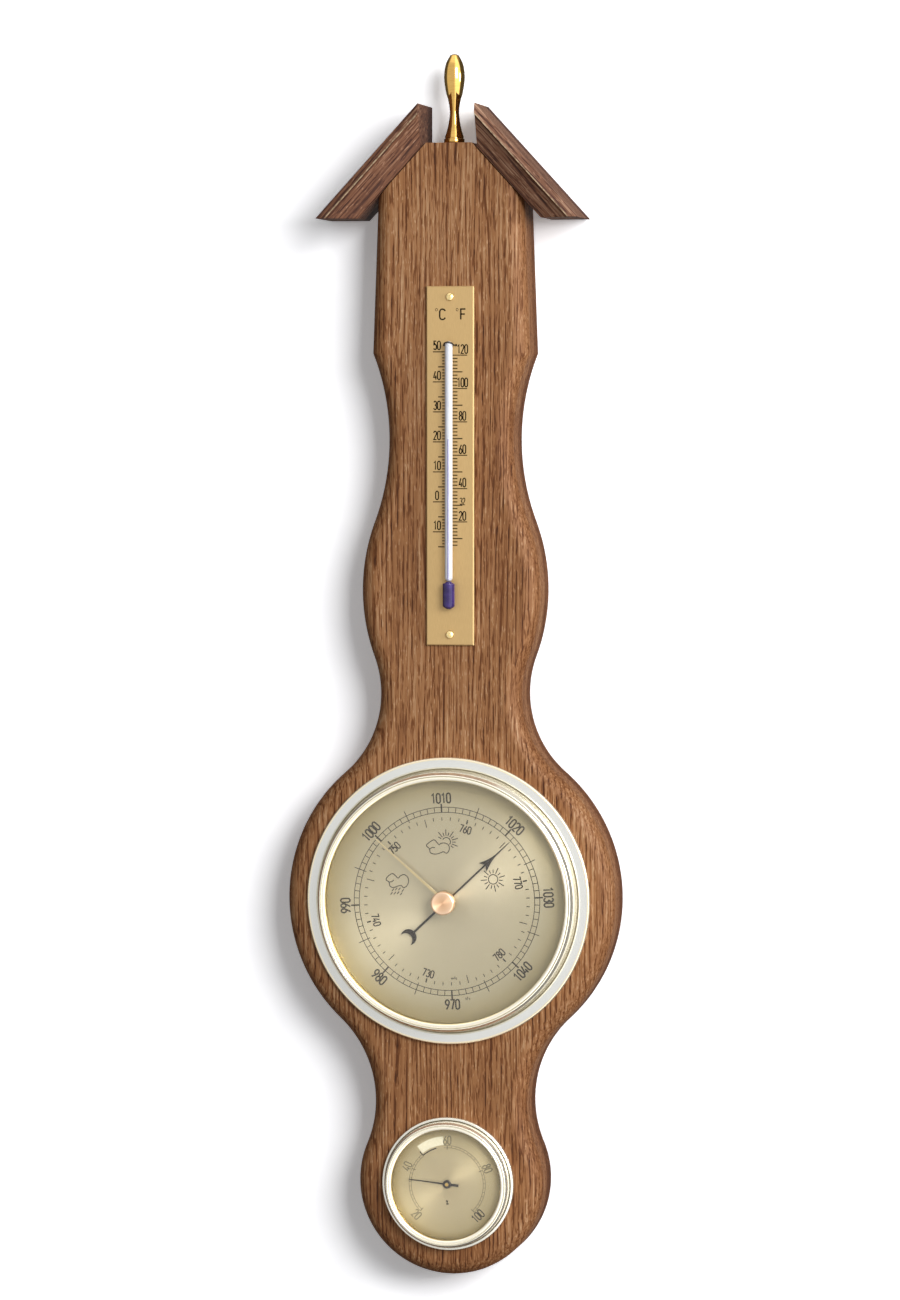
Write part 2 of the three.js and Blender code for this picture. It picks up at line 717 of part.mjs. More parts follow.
// Barometer movement layers, counted back from the dial to the back of the case
const hairspringFront = baroStack.dialBack + DIAL_CLEAR;
const hairspringBack = hairspringFront + HAIRSPRING_WIDTH;
const bridgeFront = hairspringBack + 0.4;
const bridgeBack = bridgeFront + PLATE_THICK;
const sectorFront = bridgeBack + BRIDGE_CLEAR;
const sectorBack = sectorFront + SECTOR_THICK;
const plateFaceY = sectorBack + SECTOR_CLEAR;
const plateY = plateFaceY + PLATE_THICK;
const rockerY = plateY + ROCKER_CLEAR + ROCKER_R;
const postHeadFront = rockerY + ROCKER_R + SEAT;
const postHeadBack = postHeadFront + POST_HEAD;
const springFront = postHeadBack + POST_PLAY;
const springBack = springFront + SPRING_THICK;
const capsuleFront = springBack + CAPSULE_TRAVEL;
const capsuleBack = capsuleFront + CAPSULE_HEIGHT;
const basePlateFront = capsuleBack + SEAT;
const basePlateBack = basePlateFront + BASE_PLATE_THICK;
const caseFloor = basePlateBack + SEAT;
const caseBack = caseFloor + CASE_WALL;
const basePlateR = baroCaseR - CASE_WALL - BASE_PLATE_MARGIN;

// Gear pair: both centres lie on one vertical line, the sector's staff below the arbor
const PRESSURE_ANGLE = THREE.MathUtils.degToRad(20);
const pinionPitchR = (GEAR_MODULE * PINION_TEETH) / 2;
const sectorPitchR = (GEAR_MODULE * SECTOR_FULL_TEETH) / 2;
const staffZ = -(pinionPitchR + sectorPitchR);
const tailZ = staffZ - SECTOR_TAIL;
const PLATE_FOOT_Z = staffZ - 1.5;

// The flank of an involute tooth centred on angle 0, from root to tip: [radius, half angle].
function toothFlank(teeth, addendum) {
  const pitchR = (GEAR_MODULE * teeth) / 2;
  const baseR = pitchR * Math.cos(PRESSURE_ANGLE);
  const rootR = pitchR - 1.25 * GEAR_MODULE;
  const tipR = pitchR + addendum * GEAR_MODULE;
  const backlash = 0.12;
  const pitchHalf = (Math.PI / 2 / teeth) * (1 - backlash);
  const involute = (angle) => Math.tan(angle) - angle;
  const half = (r) => {
    const pressure = Math.acos(Math.min(1, baseR / r));
    return pitchHalf + involute(PRESSURE_ANGLE) - involute(pressure);
  };
  const foot = Math.max(baseR, rootR);
  const flank = [0, 0.5, 1].map((share) => foot + (tipR - foot) * share).map((r) => [r, half(r)]);
  return baseR > rootR ? [[rootR, half(baseR)], ...flank] : flank;
}

// The rim of a gear's teeth from index first to last; tooth 0 points along `middle`.
function toothRim(teeth, addendum, first, last, middle) {
  const flank = toothFlank(teeth, addendum);
  const pitch = (2 * Math.PI) / teeth;
  const rim = [];
  for (let tooth = first; tooth <= last; tooth += 1) {
    const centre = middle + tooth * pitch;
    const rising = flank.map(([r, half]) => [r, centre - half]);
    const falling = flank.map(([r, half]) => [r, centre + half]).reverse();
    rim.push(...rising, ...falling);
  }
  return rim.map(([r, angle]) => [r * Math.sin(angle), r * Math.cos(angle)]);
}

// Pillars stand outside the capsule, and the movement plate spans them
const CAPSULE_X = LIFT_ARM;
const PILLARS = [
  [-19, staffZ + 1],
  [22.5, staffZ + 3],
  [0, 12],
];
const BRIDGE_LEGS = [
  [-12, staffZ + 3],
  [12, staffZ + 3],
  [0, 7.5],
];
const LEG_R = 1.9;
const BRIDGE_SCREW = { headR: 1.8, headHeight: 1, shankR: 0.8 };
const BASE_SCREWS = [[-26, 20], [26, 20]];
const BASE_SCREW = { headR: 2.2, headHeight: 1, shankR: 1, length: 6 };
const SPRING_FOOT_X = -30;
const CALIBRATION_R = 1.25;
const CALIBRATION_HEAD_R = 2.4;
const CALIBRATION_HOLE_R = 3.4;

// A flat link between round ends of radius r at each of the points.
function web(points, r, front, back) {
  const discs = points.map(([x, z]) => bar(r, back, front, x, z));
  const links = points.slice(1).map(([x, z], i) => {
    const [px, pz] = points[i];
    const length = Math.hypot(x - px, z - pz);
    const angle = Math.atan2(z - pz, x - px);
    const strip = box(0, length, front, back, -r, r);
    return strip.rotateY(-angle).translate(px, 0, pz);
  });
  return join(...discs, ...links);
}

function basePlate() {
  const plate = disc(basePlateR, 1.6, basePlateFront, basePlateBack, MEDIUM_SIDES);
  const holes = [
    ...PILLARS.map(([x, z]) => bar(1 + RUN, caseFloor, capsuleBack, x, z, TINY_SIDES)),
    ...BASE_SCREWS.map(([x, z]) =>
      bar(BASE_SCREW.shankR + LOOSE, caseFloor, capsuleBack, x, z, TINY_SIDES)
    ),
    bar(CALIBRATION_R + RUN, caseFloor, capsuleBack, SPRING_FOOT_X, CAPSULE_Z, SMALL_SIDES),
  ];
  return piece('base_plate', cut(plate, ...holes), STEEL);
}

// Two corrugated diaphragms soldered at the rim.
function capsule() {
  const steps = 4;
  const middle = (capsuleBack + capsuleFront) / 2;
  const half = CAPSULE_HEIGHT / 2;
  const hub = 4;
  const face = (side) =>
    Array.from({ length: steps + 1 }, (_, i) => {
      const share = i / steps;
      const radius = hub + (CAPSULE_R - 1.2 - hub) * share;
      const ripple = i % 2 ? 0.3 : -0.3;
      return [radius, middle + side * (half - 1 + ripple)];
    });
  const outline = [
    [0, capsuleBack],
    [hub - 1, capsuleBack],
    ...face(1),
    [CAPSULE_R, middle + 0.3],
    [CAPSULE_R, middle - 0.3],
    ...face(-1).reverse(),
    [hub - 1, capsuleFront],
    [0, capsuleFront],
  ];
  const chamber = piece('aneroid_capsule', turned(outline, MEDIUM_SIDES - 8), BRASS_SATIN);
  return placed(chamber, CAPSULE_X, 0, CAPSULE_Z);
}

function capsulePost() {
  const neckR = 0.6;
  const headR = 1.1;
  const outline = [
    [0, capsuleFront - SEAT],
    [neckR, capsuleFront - SEAT],
    [neckR, postHeadBack],
    [headR, postHeadBack],
    [headR, postHeadFront + 0.25],
    [headR / 2, postHeadFront],
    [0, postHeadFront],
  ];
  return placed(piece('capsule_post', turned(outline, SMALL_SIDES), STEEL), CAPSULE_X, 0, CAPSULE_Z);
}

// The leaf that holds the capsule open: its foot is on the base plate, its free end hooks
// under the head of the capsule's post.
function mainSpring() {
  const leafY = (springBack + springFront) / 2;
  const footY = basePlateFront - SEAT - SPRING_THICK / 2;
  const footReach = 4.5;
  const bendX = SPRING_FOOT_X + footReach;
  const end = CAPSULE_X + 4;
  const line = [
    [SPRING_FOOT_X - footReach, footY],
    [bendX, footY],
    [bendX + 1.2, footY - 1.2],
    [bendX + 1.2, leafY + 1.2],
    [bendX + 2.4, leafY],
    [end, leafY],
  ];
  const half = SPRING_WIDTH / 2;
  const leaf = bentSheet(line, SPRING_THICK, CAPSULE_Z - half, CAPSULE_Z + half);
  const footHole = bar(CALIBRATION_R + RUN, capsuleBack + 1, leafY, SPRING_FOOT_X, CAPSULE_Z);
  const postHole = bar(0.9, leafY + 1, leafY - 1, CAPSULE_X, CAPSULE_Z);
  return piece('main_spring', cut(leaf, footHole, postHole), STEEL);
}

// Reached from behind through the case: it tilts the spring's foot.
function calibrationScrew() {
  const tip = basePlateFront - SEAT - SPRING_THICK - 1;
  const headBack = caseBack - 0.2;
  const outline = [
    [0, headBack],
    [CALIBRATION_HEAD_R - 0.3, headBack],
    [CALIBRATION_HEAD_R, headBack - 0.3],
    [CALIBRATION_HEAD_R, caseFloor],
    [CALIBRATION_R, caseFloor],
    [CALIBRATION_R, tip + 0.4],
    [0, tip],
  ];
  const slot = box(-0.35, 0.35, headBack + 1, headBack - 0.5, -3, 3);
  const screw = cut(turned(outline, SMALL_SIDES), slot);
  return placed(piece('calibration_screw', screw, BRASS), SPRING_FOOT_X, 0, CAPSULE_Z);
}

// The rocking bar turns about Z. Its lift arm rests on the capsule's post, and its finger
// pushes the pin in the sector's tail.
const FINGER_HALF = 0.4;
const TAIL_PIN_R = 0.5;
const fingerX = -(TAIL_PIN_R + SEAT + FINGER_HALF);
const lugLowZ = PLATE_FOOT_Z + 1.4;
const lugHighZ = CAPSULE_Z + SPRING_WIDTH / 2 + 1.5;
const LUG_THICK = 1.2;

function rockingBar() {
  const shaft = post(ROCKER_R, tailZ - 0.9, lugHighZ + LUG_THICK + 0.5, 0, rockerY);
  const armBack = rockerY + ROCKER_R;
  const armHalf = 0.8;
  const reach = LIFT_ARM + 1.2;
  const arm = box(0, reach, armBack, armBack - 0.8, CAPSULE_Z - armHalf, CAPSULE_Z + armHalf);
  const [left, right] = [fingerX - FINGER_HALF, fingerX + FINGER_HALF];
  const [low, high] = [tailZ - 0.5, tailZ + 0.5];
  const finger = box(left, right, rockerY, sectorBack + SEAT, low, high);
  const fingerBoss = box(left, 0, rockerY + 0.5, rockerY - 0.5, low, high);
  return piece('rocking_bar', join(shaft, arm, finger, fingerBoss), STEEL);
}

// The plate that the pillars carry: bearings for the arbor and the staff, and two lugs behind
// it for the rocking bar.
function movementPlate() {
  const spread = web([PILLARS[0], PILLARS[2], PILLARS[1], PILLARS[0]], 4, plateFaceY, plateY);
  const fill = flat(polygon(PILLARS), plateFaceY, plateY);
  const lugs = [lugLowZ, lugHighZ].map((z) =>
    box(-2.2, 2.2, plateY - 0.2, rockerY + ROCKER_R + 0.7, z, z + LUG_THICK)
  );
  const rockerHole = post(ROCKER_R + RUN, tailZ, lugHighZ + 5, 0, rockerY);
  const notch = box(-5, 5, plateY + 5, plateFaceY - 1, tailZ - 9, PLATE_FOOT_Z);
  const through = [plateY + 1, plateFaceY - 1];
  const holes = [
    ...PILLARS.map(([x, z]) => bar(1 + RUN, ...through, x, z, TINY_SIDES)),
    ...BRIDGE_LEGS.map(([x, z]) => bar(BRIDGE_SCREW.shankR + RUN, ...through, x, z, TINY_SIDES)),
    bar(PIVOT_R + RUN, ...through, 0, 0, TINY_SIDES),
    bar(PIVOT_R + RUN, ...through, 0, staffZ, TINY_SIDES),
  ];
  const body = join(spread, fill, ...lugs);
  return piece('movement_plate', cut(body, rockerHole, notch, ...holes), BRASS_SATIN);
}

function pillar(index) {
  const outline = [
    [0, basePlateBack - 0.1],
    [1, basePlateBack - 0.1],
    [1, capsuleBack],
    [PILLAR_R, capsuleBack],
    [PILLAR_R, plateY + SEAT],
    [1, plateY + SEAT],
    [1, plateFaceY - 0.6],
    [0, plateFaceY - 0.6],
  ];
  const [x, z] = PILLARS[index];
  return placed(piece(`pillar_${index + 1}`, turned(outline, TINY_SIDES), BRASS), x, 0, z);
}

// The bridge in front of the gears: a T-shaped plate on three legs, with the hairspring's stud.
const HAIRSPRING_R = 5;
const studX = HAIRSPRING_R + 0.6 + SEAT;

function bridge() {
  const [left, right, top] = BRIDGE_LEGS;
  const crossbar = web([left, right], 3, bridgeFront, bridgeBack);
  const stem = web([[0, left[1]], top], 3.2, bridgeFront, bridgeBack);
  const earForStud = web([[0, 0], [studX, 0]], 1.4, bridgeFront, bridgeBack);
  const stud = bar(0.5, bridgeBack, hairspringFront, studX, 0, TINY_SIDES);
  const legs = BRIDGE_LEGS.map(([x, z]) => bar(LEG_R, plateFaceY - SEAT, bridgeBack - 0.2, x, z));
  const through = [plateFaceY, bridgeFront - 1];
  const holes = [
    ...BRIDGE_LEGS.map(([x, z]) => bar(BRIDGE_SCREW.shankR + RUN, ...through, x, z, TINY_SIDES)),
    bar(ARBOR_R + RUN, ...through, 0, 0, SMALL_SIDES),
    bar(PIVOT_R + RUN, ...through, 0, staffZ, TINY_SIDES),
  ];
  const body = join(crossbar, stem, earForStud, ...legs, stud);
  return piece('movement_bridge', cut(body, ...holes), BRASS_SATIN);
}

function bridgeScrew(index) {
  const seat = bridgeFront - SEAT;
  const { headR, headHeight, shankR } = BRIDGE_SCREW;
  const [x, z] = BRIDGE_LEGS[index];
  const screw = slottedScrew(headR, headHeight, shankR, plateY - seat);
  return placed(piece(`bridge_screw_${index + 1}`, screw, STEEL), x, seat, z);
}

// Seen from the front the sector turns against the pointer, a tooth at a time.
function sectorGear() {
  const addendum = 0.8;
  const rim = toothRim(SECTOR_FULL_TEETH, addendum, -SECTOR_TEETH_BEFORE, SECTOR_TEETH_AFTER, 0);
  const fan = flat(polygon([[-2.4, 0], ...rim, [2.4, 0]]), sectorFront, sectorBack);
  const pitch = (2 * Math.PI) / SECTOR_FULL_TEETH;
  const edge = 1.6 * pitch;
  const from = -SECTOR_TEETH_BEFORE * pitch + edge;
  const to = SECTOR_TEETH_AFTER * pitch - edge;
  const arc = (r, a0, a1) =>
    Array.from({ length: 7 }, (_, i) => a0 + ((a1 - a0) * i) / 6).map((angle) => [
      r * Math.sin(angle),
      r * Math.cos(angle),
    ]);
  const windowRim = [...arc(sectorPitchR - 3, from, to), ...arc(sectorPitchR * 0.36, to, from)];
  const opening = flat(polygon(windowRim), sectorFront - 1, sectorBack + 1);
  const hub = bar(3, sectorFront, sectorBack, 0, 0);
  const tail = box(-1.1, 1.1, sectorFront, sectorBack, -SECTOR_TAIL - 1, 0);
  const pin = bar(TAIL_PIN_R, sectorFront, sectorBack + 1, 0, -SECTOR_TAIL, TINY_SIDES);
  const staff = turned(
    [
      [0, plateY],
      [PIVOT_R, plateY],
      [PIVOT_R, plateFaceY - SEAT],
      [1, plateFaceY - SEAT],
      [1, bridgeBack + SEAT],
      [PIVOT_R, bridgeBack + SEAT],
      [PIVOT_R, bridgeFront],
      [0, bridgeFront],
    ],
    TINY_SIDES
  );
  const body = join(cut(fan, opening), hub, tail, pin, staff);
  return placed(piece('sector_gear', body, BRASS), 0, 0, staffZ);
}

// The arbor in the middle of the dial, with its pinion. A gap between two teeth faces the
// sector's tooth on the line of centres.
const pointerBack = baroStack.dialFront - SEAT;
const pointerHubFront = pointerBack - 1.2;

function pinionArbor() {
  const spaceDown = Math.PI + Math.PI / PINION_TEETH;
  const rim = toothRim(PINION_TEETH, 0.9, 0, PINION_TEETH - 1, spaceDown);
  const overhang = (PINION_LENGTH - SECTOR_THICK) / 2;
  const leaves = flat(polygon(rim), sectorFront - overhang, sectorBack + overhang);
  const arbor = turned(
    [
      [0, plateY],
      [PIVOT_R, plateY],
      [PIVOT_R, plateFaceY - SEAT],
      [1.1, plateFaceY - SEAT],
      [1.1, bridgeBack + SEAT],
      [ARBOR_R, bridgeBack + SEAT],
      [ARBOR_R, pointerHubFront + 0.2],
      [0, pointerHubFront + 0.2],
    ],
    TINY_SIDES
  );
  return piece('pinion_arbor', join(arbor, leaves), STEEL);
}

// The collet that holds the hairspring's inner end, and the spring round it.
const COLLET_R = 1.4;

function collet() {
  const ring = disc(COLLET_R, ARBOR_R + RUN, hairspringFront, hairspringBack, TINY_SIDES);
  return piece('hairspring_collet', ring, BRASS);
}

function hairspring() {
  const outer = HAIRSPRING_R;
  const inner = COLLET_R + SEAT + 0.1;
  const coil = spiral(inner, outer, 4, 0.2, hairspringFront, hairspringBack, Math.PI / 2);
  return piece('hairspring', coil, BRASS);
}

// The pointer: a thin shaft with an arrowhead, and a crescent at its tail.
function pointer() {
  const front = pointerBack - 0.3 - POINTER_THICK;
  const back = pointerBack - 0.3;
  const headFoot = POINTER_REACH * 0.61;
  const headTip = POINTER_REACH * 0.79;
  const shaft = polygon([
    [-0.42, -POINTER_TAIL + 2],
    [0.42, -POINTER_TAIL + 2],
    [0.34, 4],
    [0.3, headFoot],
    [2.1, headFoot - 1],
    [0.24, headTip],
    [0.1, POINTER_REACH],
    [-0.1, POINTER_REACH],
    [-0.24, headTip],
    [-2.1, headFoot - 1],
    [-0.3, headFoot],
    [-0.34, 4],
  ]);
  const moon = bar(2.9, back, front, 0, -POINTER_TAIL, MEDIUM_SIDES);
  const bite = bar(2.5, back + 1, front - 1, 0, -POINTER_TAIL - 1.5, MEDIUM_SIDES);
  const hub = bar(2.2, pointerBack, pointerHubFront, 0, 0, MEDIUM_SIDES);
  const bore = bar(ARBOR_R + RUN, pointerBack + 1, pointerHubFront - 1);
  const body = join(flat(shaft, front, back), cut(moon, bite), hub);
  const mesh = piece('pointer', cut(body, bore), BLACK);
  mesh.rotation.y = POINTER_ANGLE;
  return mesh;
}

// The set hand is pressed on the shaft of the knob that passes through the glass.
const setHandBack = pointerHubFront - SEAT * 2;
const setHandFront = setHandBack - 0.5;
const WASHER_THICK = 0.3;
const knobBack = baroStack.glassFront - SEAT - WASHER_THICK - SEAT;

function setHand() {
  const blade = polygon([
    [-0.55, 0],
    [0.55, 0],
    [0.18, SET_HAND_REACH],
    [-0.18, SET_HAND_REACH],
  ]);
  const hub = bar(1.9, setHandBack, setHandFront, 0, 0);
  const bore = bar(KNOB_SHAFT_R + RUN, setHandBack + 1, setHandFront - 1);
  const body = join(flat(blade, setHandFront, setHandBack - 0.15), hub);
  const mesh = piece('set_hand', cut(body, bore), BRASS);
  mesh.rotation.y = SET_HAND_ANGLE;
  return mesh;
}

function setKnob() {
  const front = knobBack - KNOB_HEIGHT;
  const outline = [
    [0, setHandBack],
    [KNOB_SHAFT_R, setHandBack],
    [KNOB_SHAFT_R, knobBack],
    [KNOB_R - 0.6, knobBack],
    [KNOB_R, knobBack - 0.5],
    [KNOB_R, front + 0.7],
    [KNOB_R - 0.25, front + 0.2],
    [KNOB_R - 0.7, front],
    [0, front + 0.5],
  ];
  return piece('set_knob', turned(outline, MEDIUM_SIDES - 8), COPPER);
}

function barometer() {
  const group = new THREE.Group();
  group.position.set(0, -BOARD_THICK, BARO_Z);
  const { rimFront, dialBack, dialFront, spacerFront, glassBack, glassFront } = baroStack;
  const opening = BARO_OPENING_R;
  const radius = baroGlassR;
  const shaftHole = KNOB_SHAFT_R + LOOSE;
  const flange = [baroFlangeR, BARO_FLANGE_WIDTH];
  const shell = bezel(...flange, opening, radius, glassFront, LARGE_SIDES);
  const cup = caseCup(baroCaseR, radius, rimFront, caseBack, LARGE_SIDES);
  const floor = [caseBack + 1, caseFloor - 1];
  const cupHoles = [
    bar(CALIBRATION_HOLE_R, ...floor, SPRING_FOOT_X, CAPSULE_Z),
    ...BASE_SCREWS.map(([x, z]) => bar(BASE_SCREW.shankR + LOOSE, ...floor, x, z, TINY_SIDES)),
  ];
  const { headR, headHeight, shankR, length } = BASE_SCREW;
  const baseScrew = slottedScrew(headR, headHeight, shankR, length).rotateZ(Math.PI);
  const dial = disc(radius, ARBOR_R + 0.9, dialFront, dialBack, LARGE_SIDES);
  const spacer = disc(radius, opening + 0.3, spacerFront, dialFront - SEAT, LARGE_SIDES);
  const washer = disc(
    KNOB_R - 1,
    shaftHole,
    baroStack.glassFront - SEAT - WASHER_THICK,
    baroStack.glassFront - SEAT,
    SMALL_SIDES
  );
  group.add(
    piece('barometer_bezel', shell, BEZEL_METAL),
    piece('barometer_glass', disc(radius, shaftHole, glassFront, glassBack, LARGE_SIDES), GLASS),
    piece('barometer_spacer', spacer, DIAL_METAL),
    piece('barometer_dial', dial, DIAL_METAL),
    piece('barometer_case', cut(cup, ...cupHoles), STEEL),
    basePlate(),
    capsule(),
    capsulePost(),
    mainSpring(),
    calibrationScrew(),
    rockingBar(),
    movementPlate(),
    ...PILLARS.map((_, i) => pillar(i)),
    bridge(),
    ...BRIDGE_LEGS.map((_, i) => bridgeScrew(i)),
    sectorGear(),
    pinionArbor(),
    collet(),
    hairspring(),
    pointer(),
    setHand(),
    piece('knob_washer', washer, BRASS),
    setKnob(),
    ...BASE_SCREWS.map(([x, z], i) =>
      placed(piece(`base_screw_${i + 1}`, baseScrew, STEEL), x, caseBack + SEAT, z)
    )
  );
  return group;
}

// Hygrometer movement layers, counted forward from the back of its case
const hygroFloor = HYGRO_CASE_DEPTH - CASE_WALL;
const hygroCoilBack = hygroFloor - SEAT - 1.8;
const hygroCoilFront = hygroCoilBack - 4;
const hygroBridgeBack = hygroCoilFront - 1;
const hygroBridgeFront = hygroBridgeBack - 1;
const HYGRO_ARBOR_R = 0.6;
const HYGRO_COLLET_R = 1.7;
const HYGRO_ANCHOR_R = 0.6;
const BRIDGE_FOOT_X = 15.5;
const ADJUSTER_R = 2.6;

// The slotted bush in the back of the case: its arm carries the coil's outer end, so turning
// it sets the pointer.
function hygroAdjuster() {
  const back = HYGRO_CASE_DEPTH + 1.1;
  const bush = turned(
    [
      [0, back],
      [ADJUSTER_R + 0.9, back],
      [ADJUSTER_R + 0.9, HYGRO_CASE_DEPTH + SEAT],
      [ADJUSTER_R, HYGRO_CASE_DEPTH + SEAT],
      [ADJUSTER_R, hygroFloor - SEAT - 1],
      [HYGRO_ARBOR_R + RUN, hygroFloor - SEAT - 1],
      [HYGRO_ARBOR_R + RUN, HYGRO_CASE_DEPTH],
      [0, HYGRO_CASE_DEPTH],
    ],
    SMALL_SIDES
  );
  const slot = box(-4, 4, back + 1, back - 0.5, -0.4, 0.4);
  const anchorX = HYGRO_COIL_OUTER + SEAT + HYGRO_ANCHOR_R + 0.2;
  const armBack = hygroFloor - SEAT;
  const arm = box(ADJUSTER_R - 0.5, anchorX + 1, armBack - 1, armBack, -1.1, 1.1);
  const anchor = bar(HYGRO_ANCHOR_R, armBack, hygroCoilFront, anchorX, 0, TINY_SIDES);
  return piece('hygrometer_adjuster', join(cut(bush, slot), arm, anchor), BRASS);
}

function hygroArbor() {
  const { dialFront } = hygroStack;
  const outline = [
    [0, HYGRO_CASE_DEPTH - SEAT],
    [HYGRO_ARBOR_R, HYGRO_CASE_DEPTH - SEAT],
    [HYGRO_ARBOR_R, hygroCoilBack],
    [HYGRO_COLLET_R, hygroCoilBack],
    [HYGRO_COLLET_R, hygroCoilFront],
    [HYGRO_ARBOR_R, hygroCoilFront],
    [HYGRO_ARBOR_R, dialFront - 1.2],
    [0, dialFront - 1.2],
  ];
  return piece('hygrometer_arbor', turned(outline, SMALL_SIDES), STEEL);
}

// A strap across the case with a hole for the arbor, on two feet.
function hygroBridge() {
  const strapY = (hygroBridgeBack + hygroBridgeFront) / 2;
  const footY = hygroFloor - SEAT - 0.5;
  const bend = BRIDGE_FOOT_X - 3;
  const line = [
    [-BRIDGE_FOOT_X, footY],
    [-bend, footY],
    [-bend, strapY],
    [bend, strapY],
    [bend, footY],
    [BRIDGE_FOOT_X, footY],
  ];
  const strap = bentSheet(line, 1, -2.5, 2.5);
  const hole = bar(HYGRO_ARBOR_R + RUN, hygroBridgeBack + 1, hygroBridgeFront - 1);
  return piece('hygrometer_bridge', cut(strap, hole), BRASS_SATIN);
}

function hygroPointer() {
  const back = hygroStack.dialFront - SEAT;
  const front = back - 0.3;
  const blade = polygon([
    [-0.5, -HYGRO_POINTER_TAIL],
    [0.5, -HYGRO_POINTER_TAIL],
    [0.45, -1],
    [0.28, 1.2],
    [0.12, HYGRO_POINTER_REACH],
    [-0.12, HYGRO_POINTER_REACH],
    [-0.28, 1.2],
    [-0.45, -1],
  ]);
  const hub = bar(1.5, back, front - 0.5, 0, 0);
  const bore = bar(HYGRO_ARBOR_R + RUN, back + 1, front - 2);
  const mesh = piece('hygrometer_pointer', cut(join(flat(blade, front, back), hub), bore), BLACK);
  mesh.rotation.y = HYGRO_POINTER_ANGLE;
  return mesh;
}

// Five slots round the back of the case let the room's air reach the coil.
function hygroVents() {
  const count = 5;
  return Array.from({ length: count }, (_, i) => {
    const slot = flat(slotShape(2, 7), hygroFloor - 1, HYGRO_CASE_DEPTH + 1, 2);
    return slot.translate(0, 0, 13).rotateY(((i + 0.5) * 2 * Math.PI) / count);
  });
}

function hygrometer() {
  const group = new THREE.Group();
  group.position.set(0, -BOARD_THICK, HYGRO_Z);
  const { rimFront, dialBack, dialFront, spacerFront, glassBack, glassFront } = hygroStack;
  const opening = HYGRO_OPENING_R;
  const radius = hygroGlassR;
  const flange = [hygroFlangeR, HYGRO_FLANGE_WIDTH];
  const shell = bezel(...flange, opening, radius, glassFront, MEDIUM_SIDES);
  const cup = caseCup(hygroCaseR, radius, rimFront, HYGRO_CASE_DEPTH, MEDIUM_SIDES);
  const bushHole = bar(ADJUSTER_R + RUN, HYGRO_CASE_DEPTH + 1, hygroFloor - 1);
  const coil = spiral(
    HYGRO_COIL_INNER,
    HYGRO_COIL_OUTER,
    HYGRO_COIL_TURNS,
    0.3,
    hygroCoilFront,
    hygroCoilBack,
    Math.PI / 2
  );
  const dial = disc(radius, HYGRO_ARBOR_R + 0.6, dialFront, dialBack, MEDIUM_SIDES);
  const spacer = disc(radius, opening + 0.3, spacerFront, dialFront - SEAT, MEDIUM_SIDES);
  const pane = turned(
    [[0, glassBack], [radius, glassBack], [radius, glassFront], [0, glassFront]],
    MEDIUM_SIDES
  );
  group.add(
    piece('hygrometer_bezel', shell, BEZEL_METAL),
    piece('hygrometer_glass', pane, GLASS),
    piece('hygrometer_spacer', spacer, DIAL_METAL),
    piece('hygrometer_dial', dial, DIAL_METAL),
    piece('hygrometer_case', cut(cup, bushHole, ...hygroVents()), STEEL),
    hygroBridge(),
    piece('hygroscopic_coil', coil, BRASS_SATIN),
    hygroAdjuster(),
    hygroArbor(),
    hygroPointer()
  );
  return group;
}

// Keyhole hanger. Its frame's origin is on the wall plane, at the middle of the plate.

const hangerFace = -HANGER_RECESS;
const hangerInner = hangerFace - HANGER_THICK;
const hangerScrewZ = HANGER_HEIGHT / 2 - HANGER_SCREW_INSET;
const HANGER_SCREW = { headR: 2.6, shankR: 1.3, length: 13 };

function keyholeShape() {
  const half = KEYHOLE_SLOT / 2;
  const meet = Math.acos(half / KEYHOLE_R);
  const shape = new THREE.Shape();
  shape.absarc(0, 0, KEYHOLE_R, Math.PI - meet, 2 * Math.PI + meet, false);
  shape.absarc(0, KEYHOLE_RISE, half, 0, Math.PI, false);
  shape.closePath();
  return shape;
}

function hangerPlate() {
  const blank = flat(slotShape(HANGER_WIDTH, HANGER_HEIGHT), hangerInner, hangerFace, 6);
  const keyhole = flat(keyholeShape(), hangerInner - 1, 1).translate(0, 0, -KEYHOLE_RISE / 2);
  const sinks = [hangerScrewZ, -hangerScrewZ].map((z) => {
    const sink = [
      [0, 1],
      [HANGER_SCREW.headR + LOOSE, 1],
      [HANGER_SCREW.headR + LOOSE, hangerFace],
      [HANGER_SCREW.shankR + LOOSE, hangerInner],
      [HANGER_SCREW.shankR + LOOSE, hangerInner - 1],
      [0, hangerInner - 1],
    ];
    return turned(sink, SMALL_SIDES).translate(0, 0, z);
  });
  return piece('hanger_plate', cut(blank, keyhole, ...sinks), BRASS_SATIN);
}

function hangerScrew(name, z) {
  const { headR, shankR, length } = HANGER_SCREW;
  const outline = [
    [0, hangerFace],
    [headR, hangerFace],
    [headR, hangerFace - 0.1],
    [shankR, hangerInner - 0.1],
    [shankR, 1.5 - length],
    [0, -length],
  ];
  const slot = box(-headR, headR, 0, hangerFace - 0.5, -0.35, 0.35);
  return placed(piece(name, cut(turned(outline, SMALL_SIDES), slot), STEEL), 0, 0, z);
}

// The rebate for the plate, the pocket for the wall screw's head, and the two screw holes.
function hangerCuts() {
  const floor = hangerInner - SEAT;
  const rebate = flat(slotShape(HANGER_WIDTH + 1, HANGER_HEIGHT + 1), floor, 1, 6);
  const pocketShape = slotShape(POCKET_WIDTH, KEYHOLE_RISE + POCKET_WIDTH);
  const pocket = flat(pocketShape, floor - POCKET_DEPTH, floor + 0.5, 6);
  const { shankR, length } = HANGER_SCREW;
  const holes = [hangerScrewZ, -hangerScrewZ].map((z) =>
    bar(shankR + LOOSE, floor + 0.5, -length - 1, 0, z, TINY_SIDES)
  );
  return [rebate, pocket, ...holes].map((tool) => tool.translate(0, 0, HANGER_Z));
}

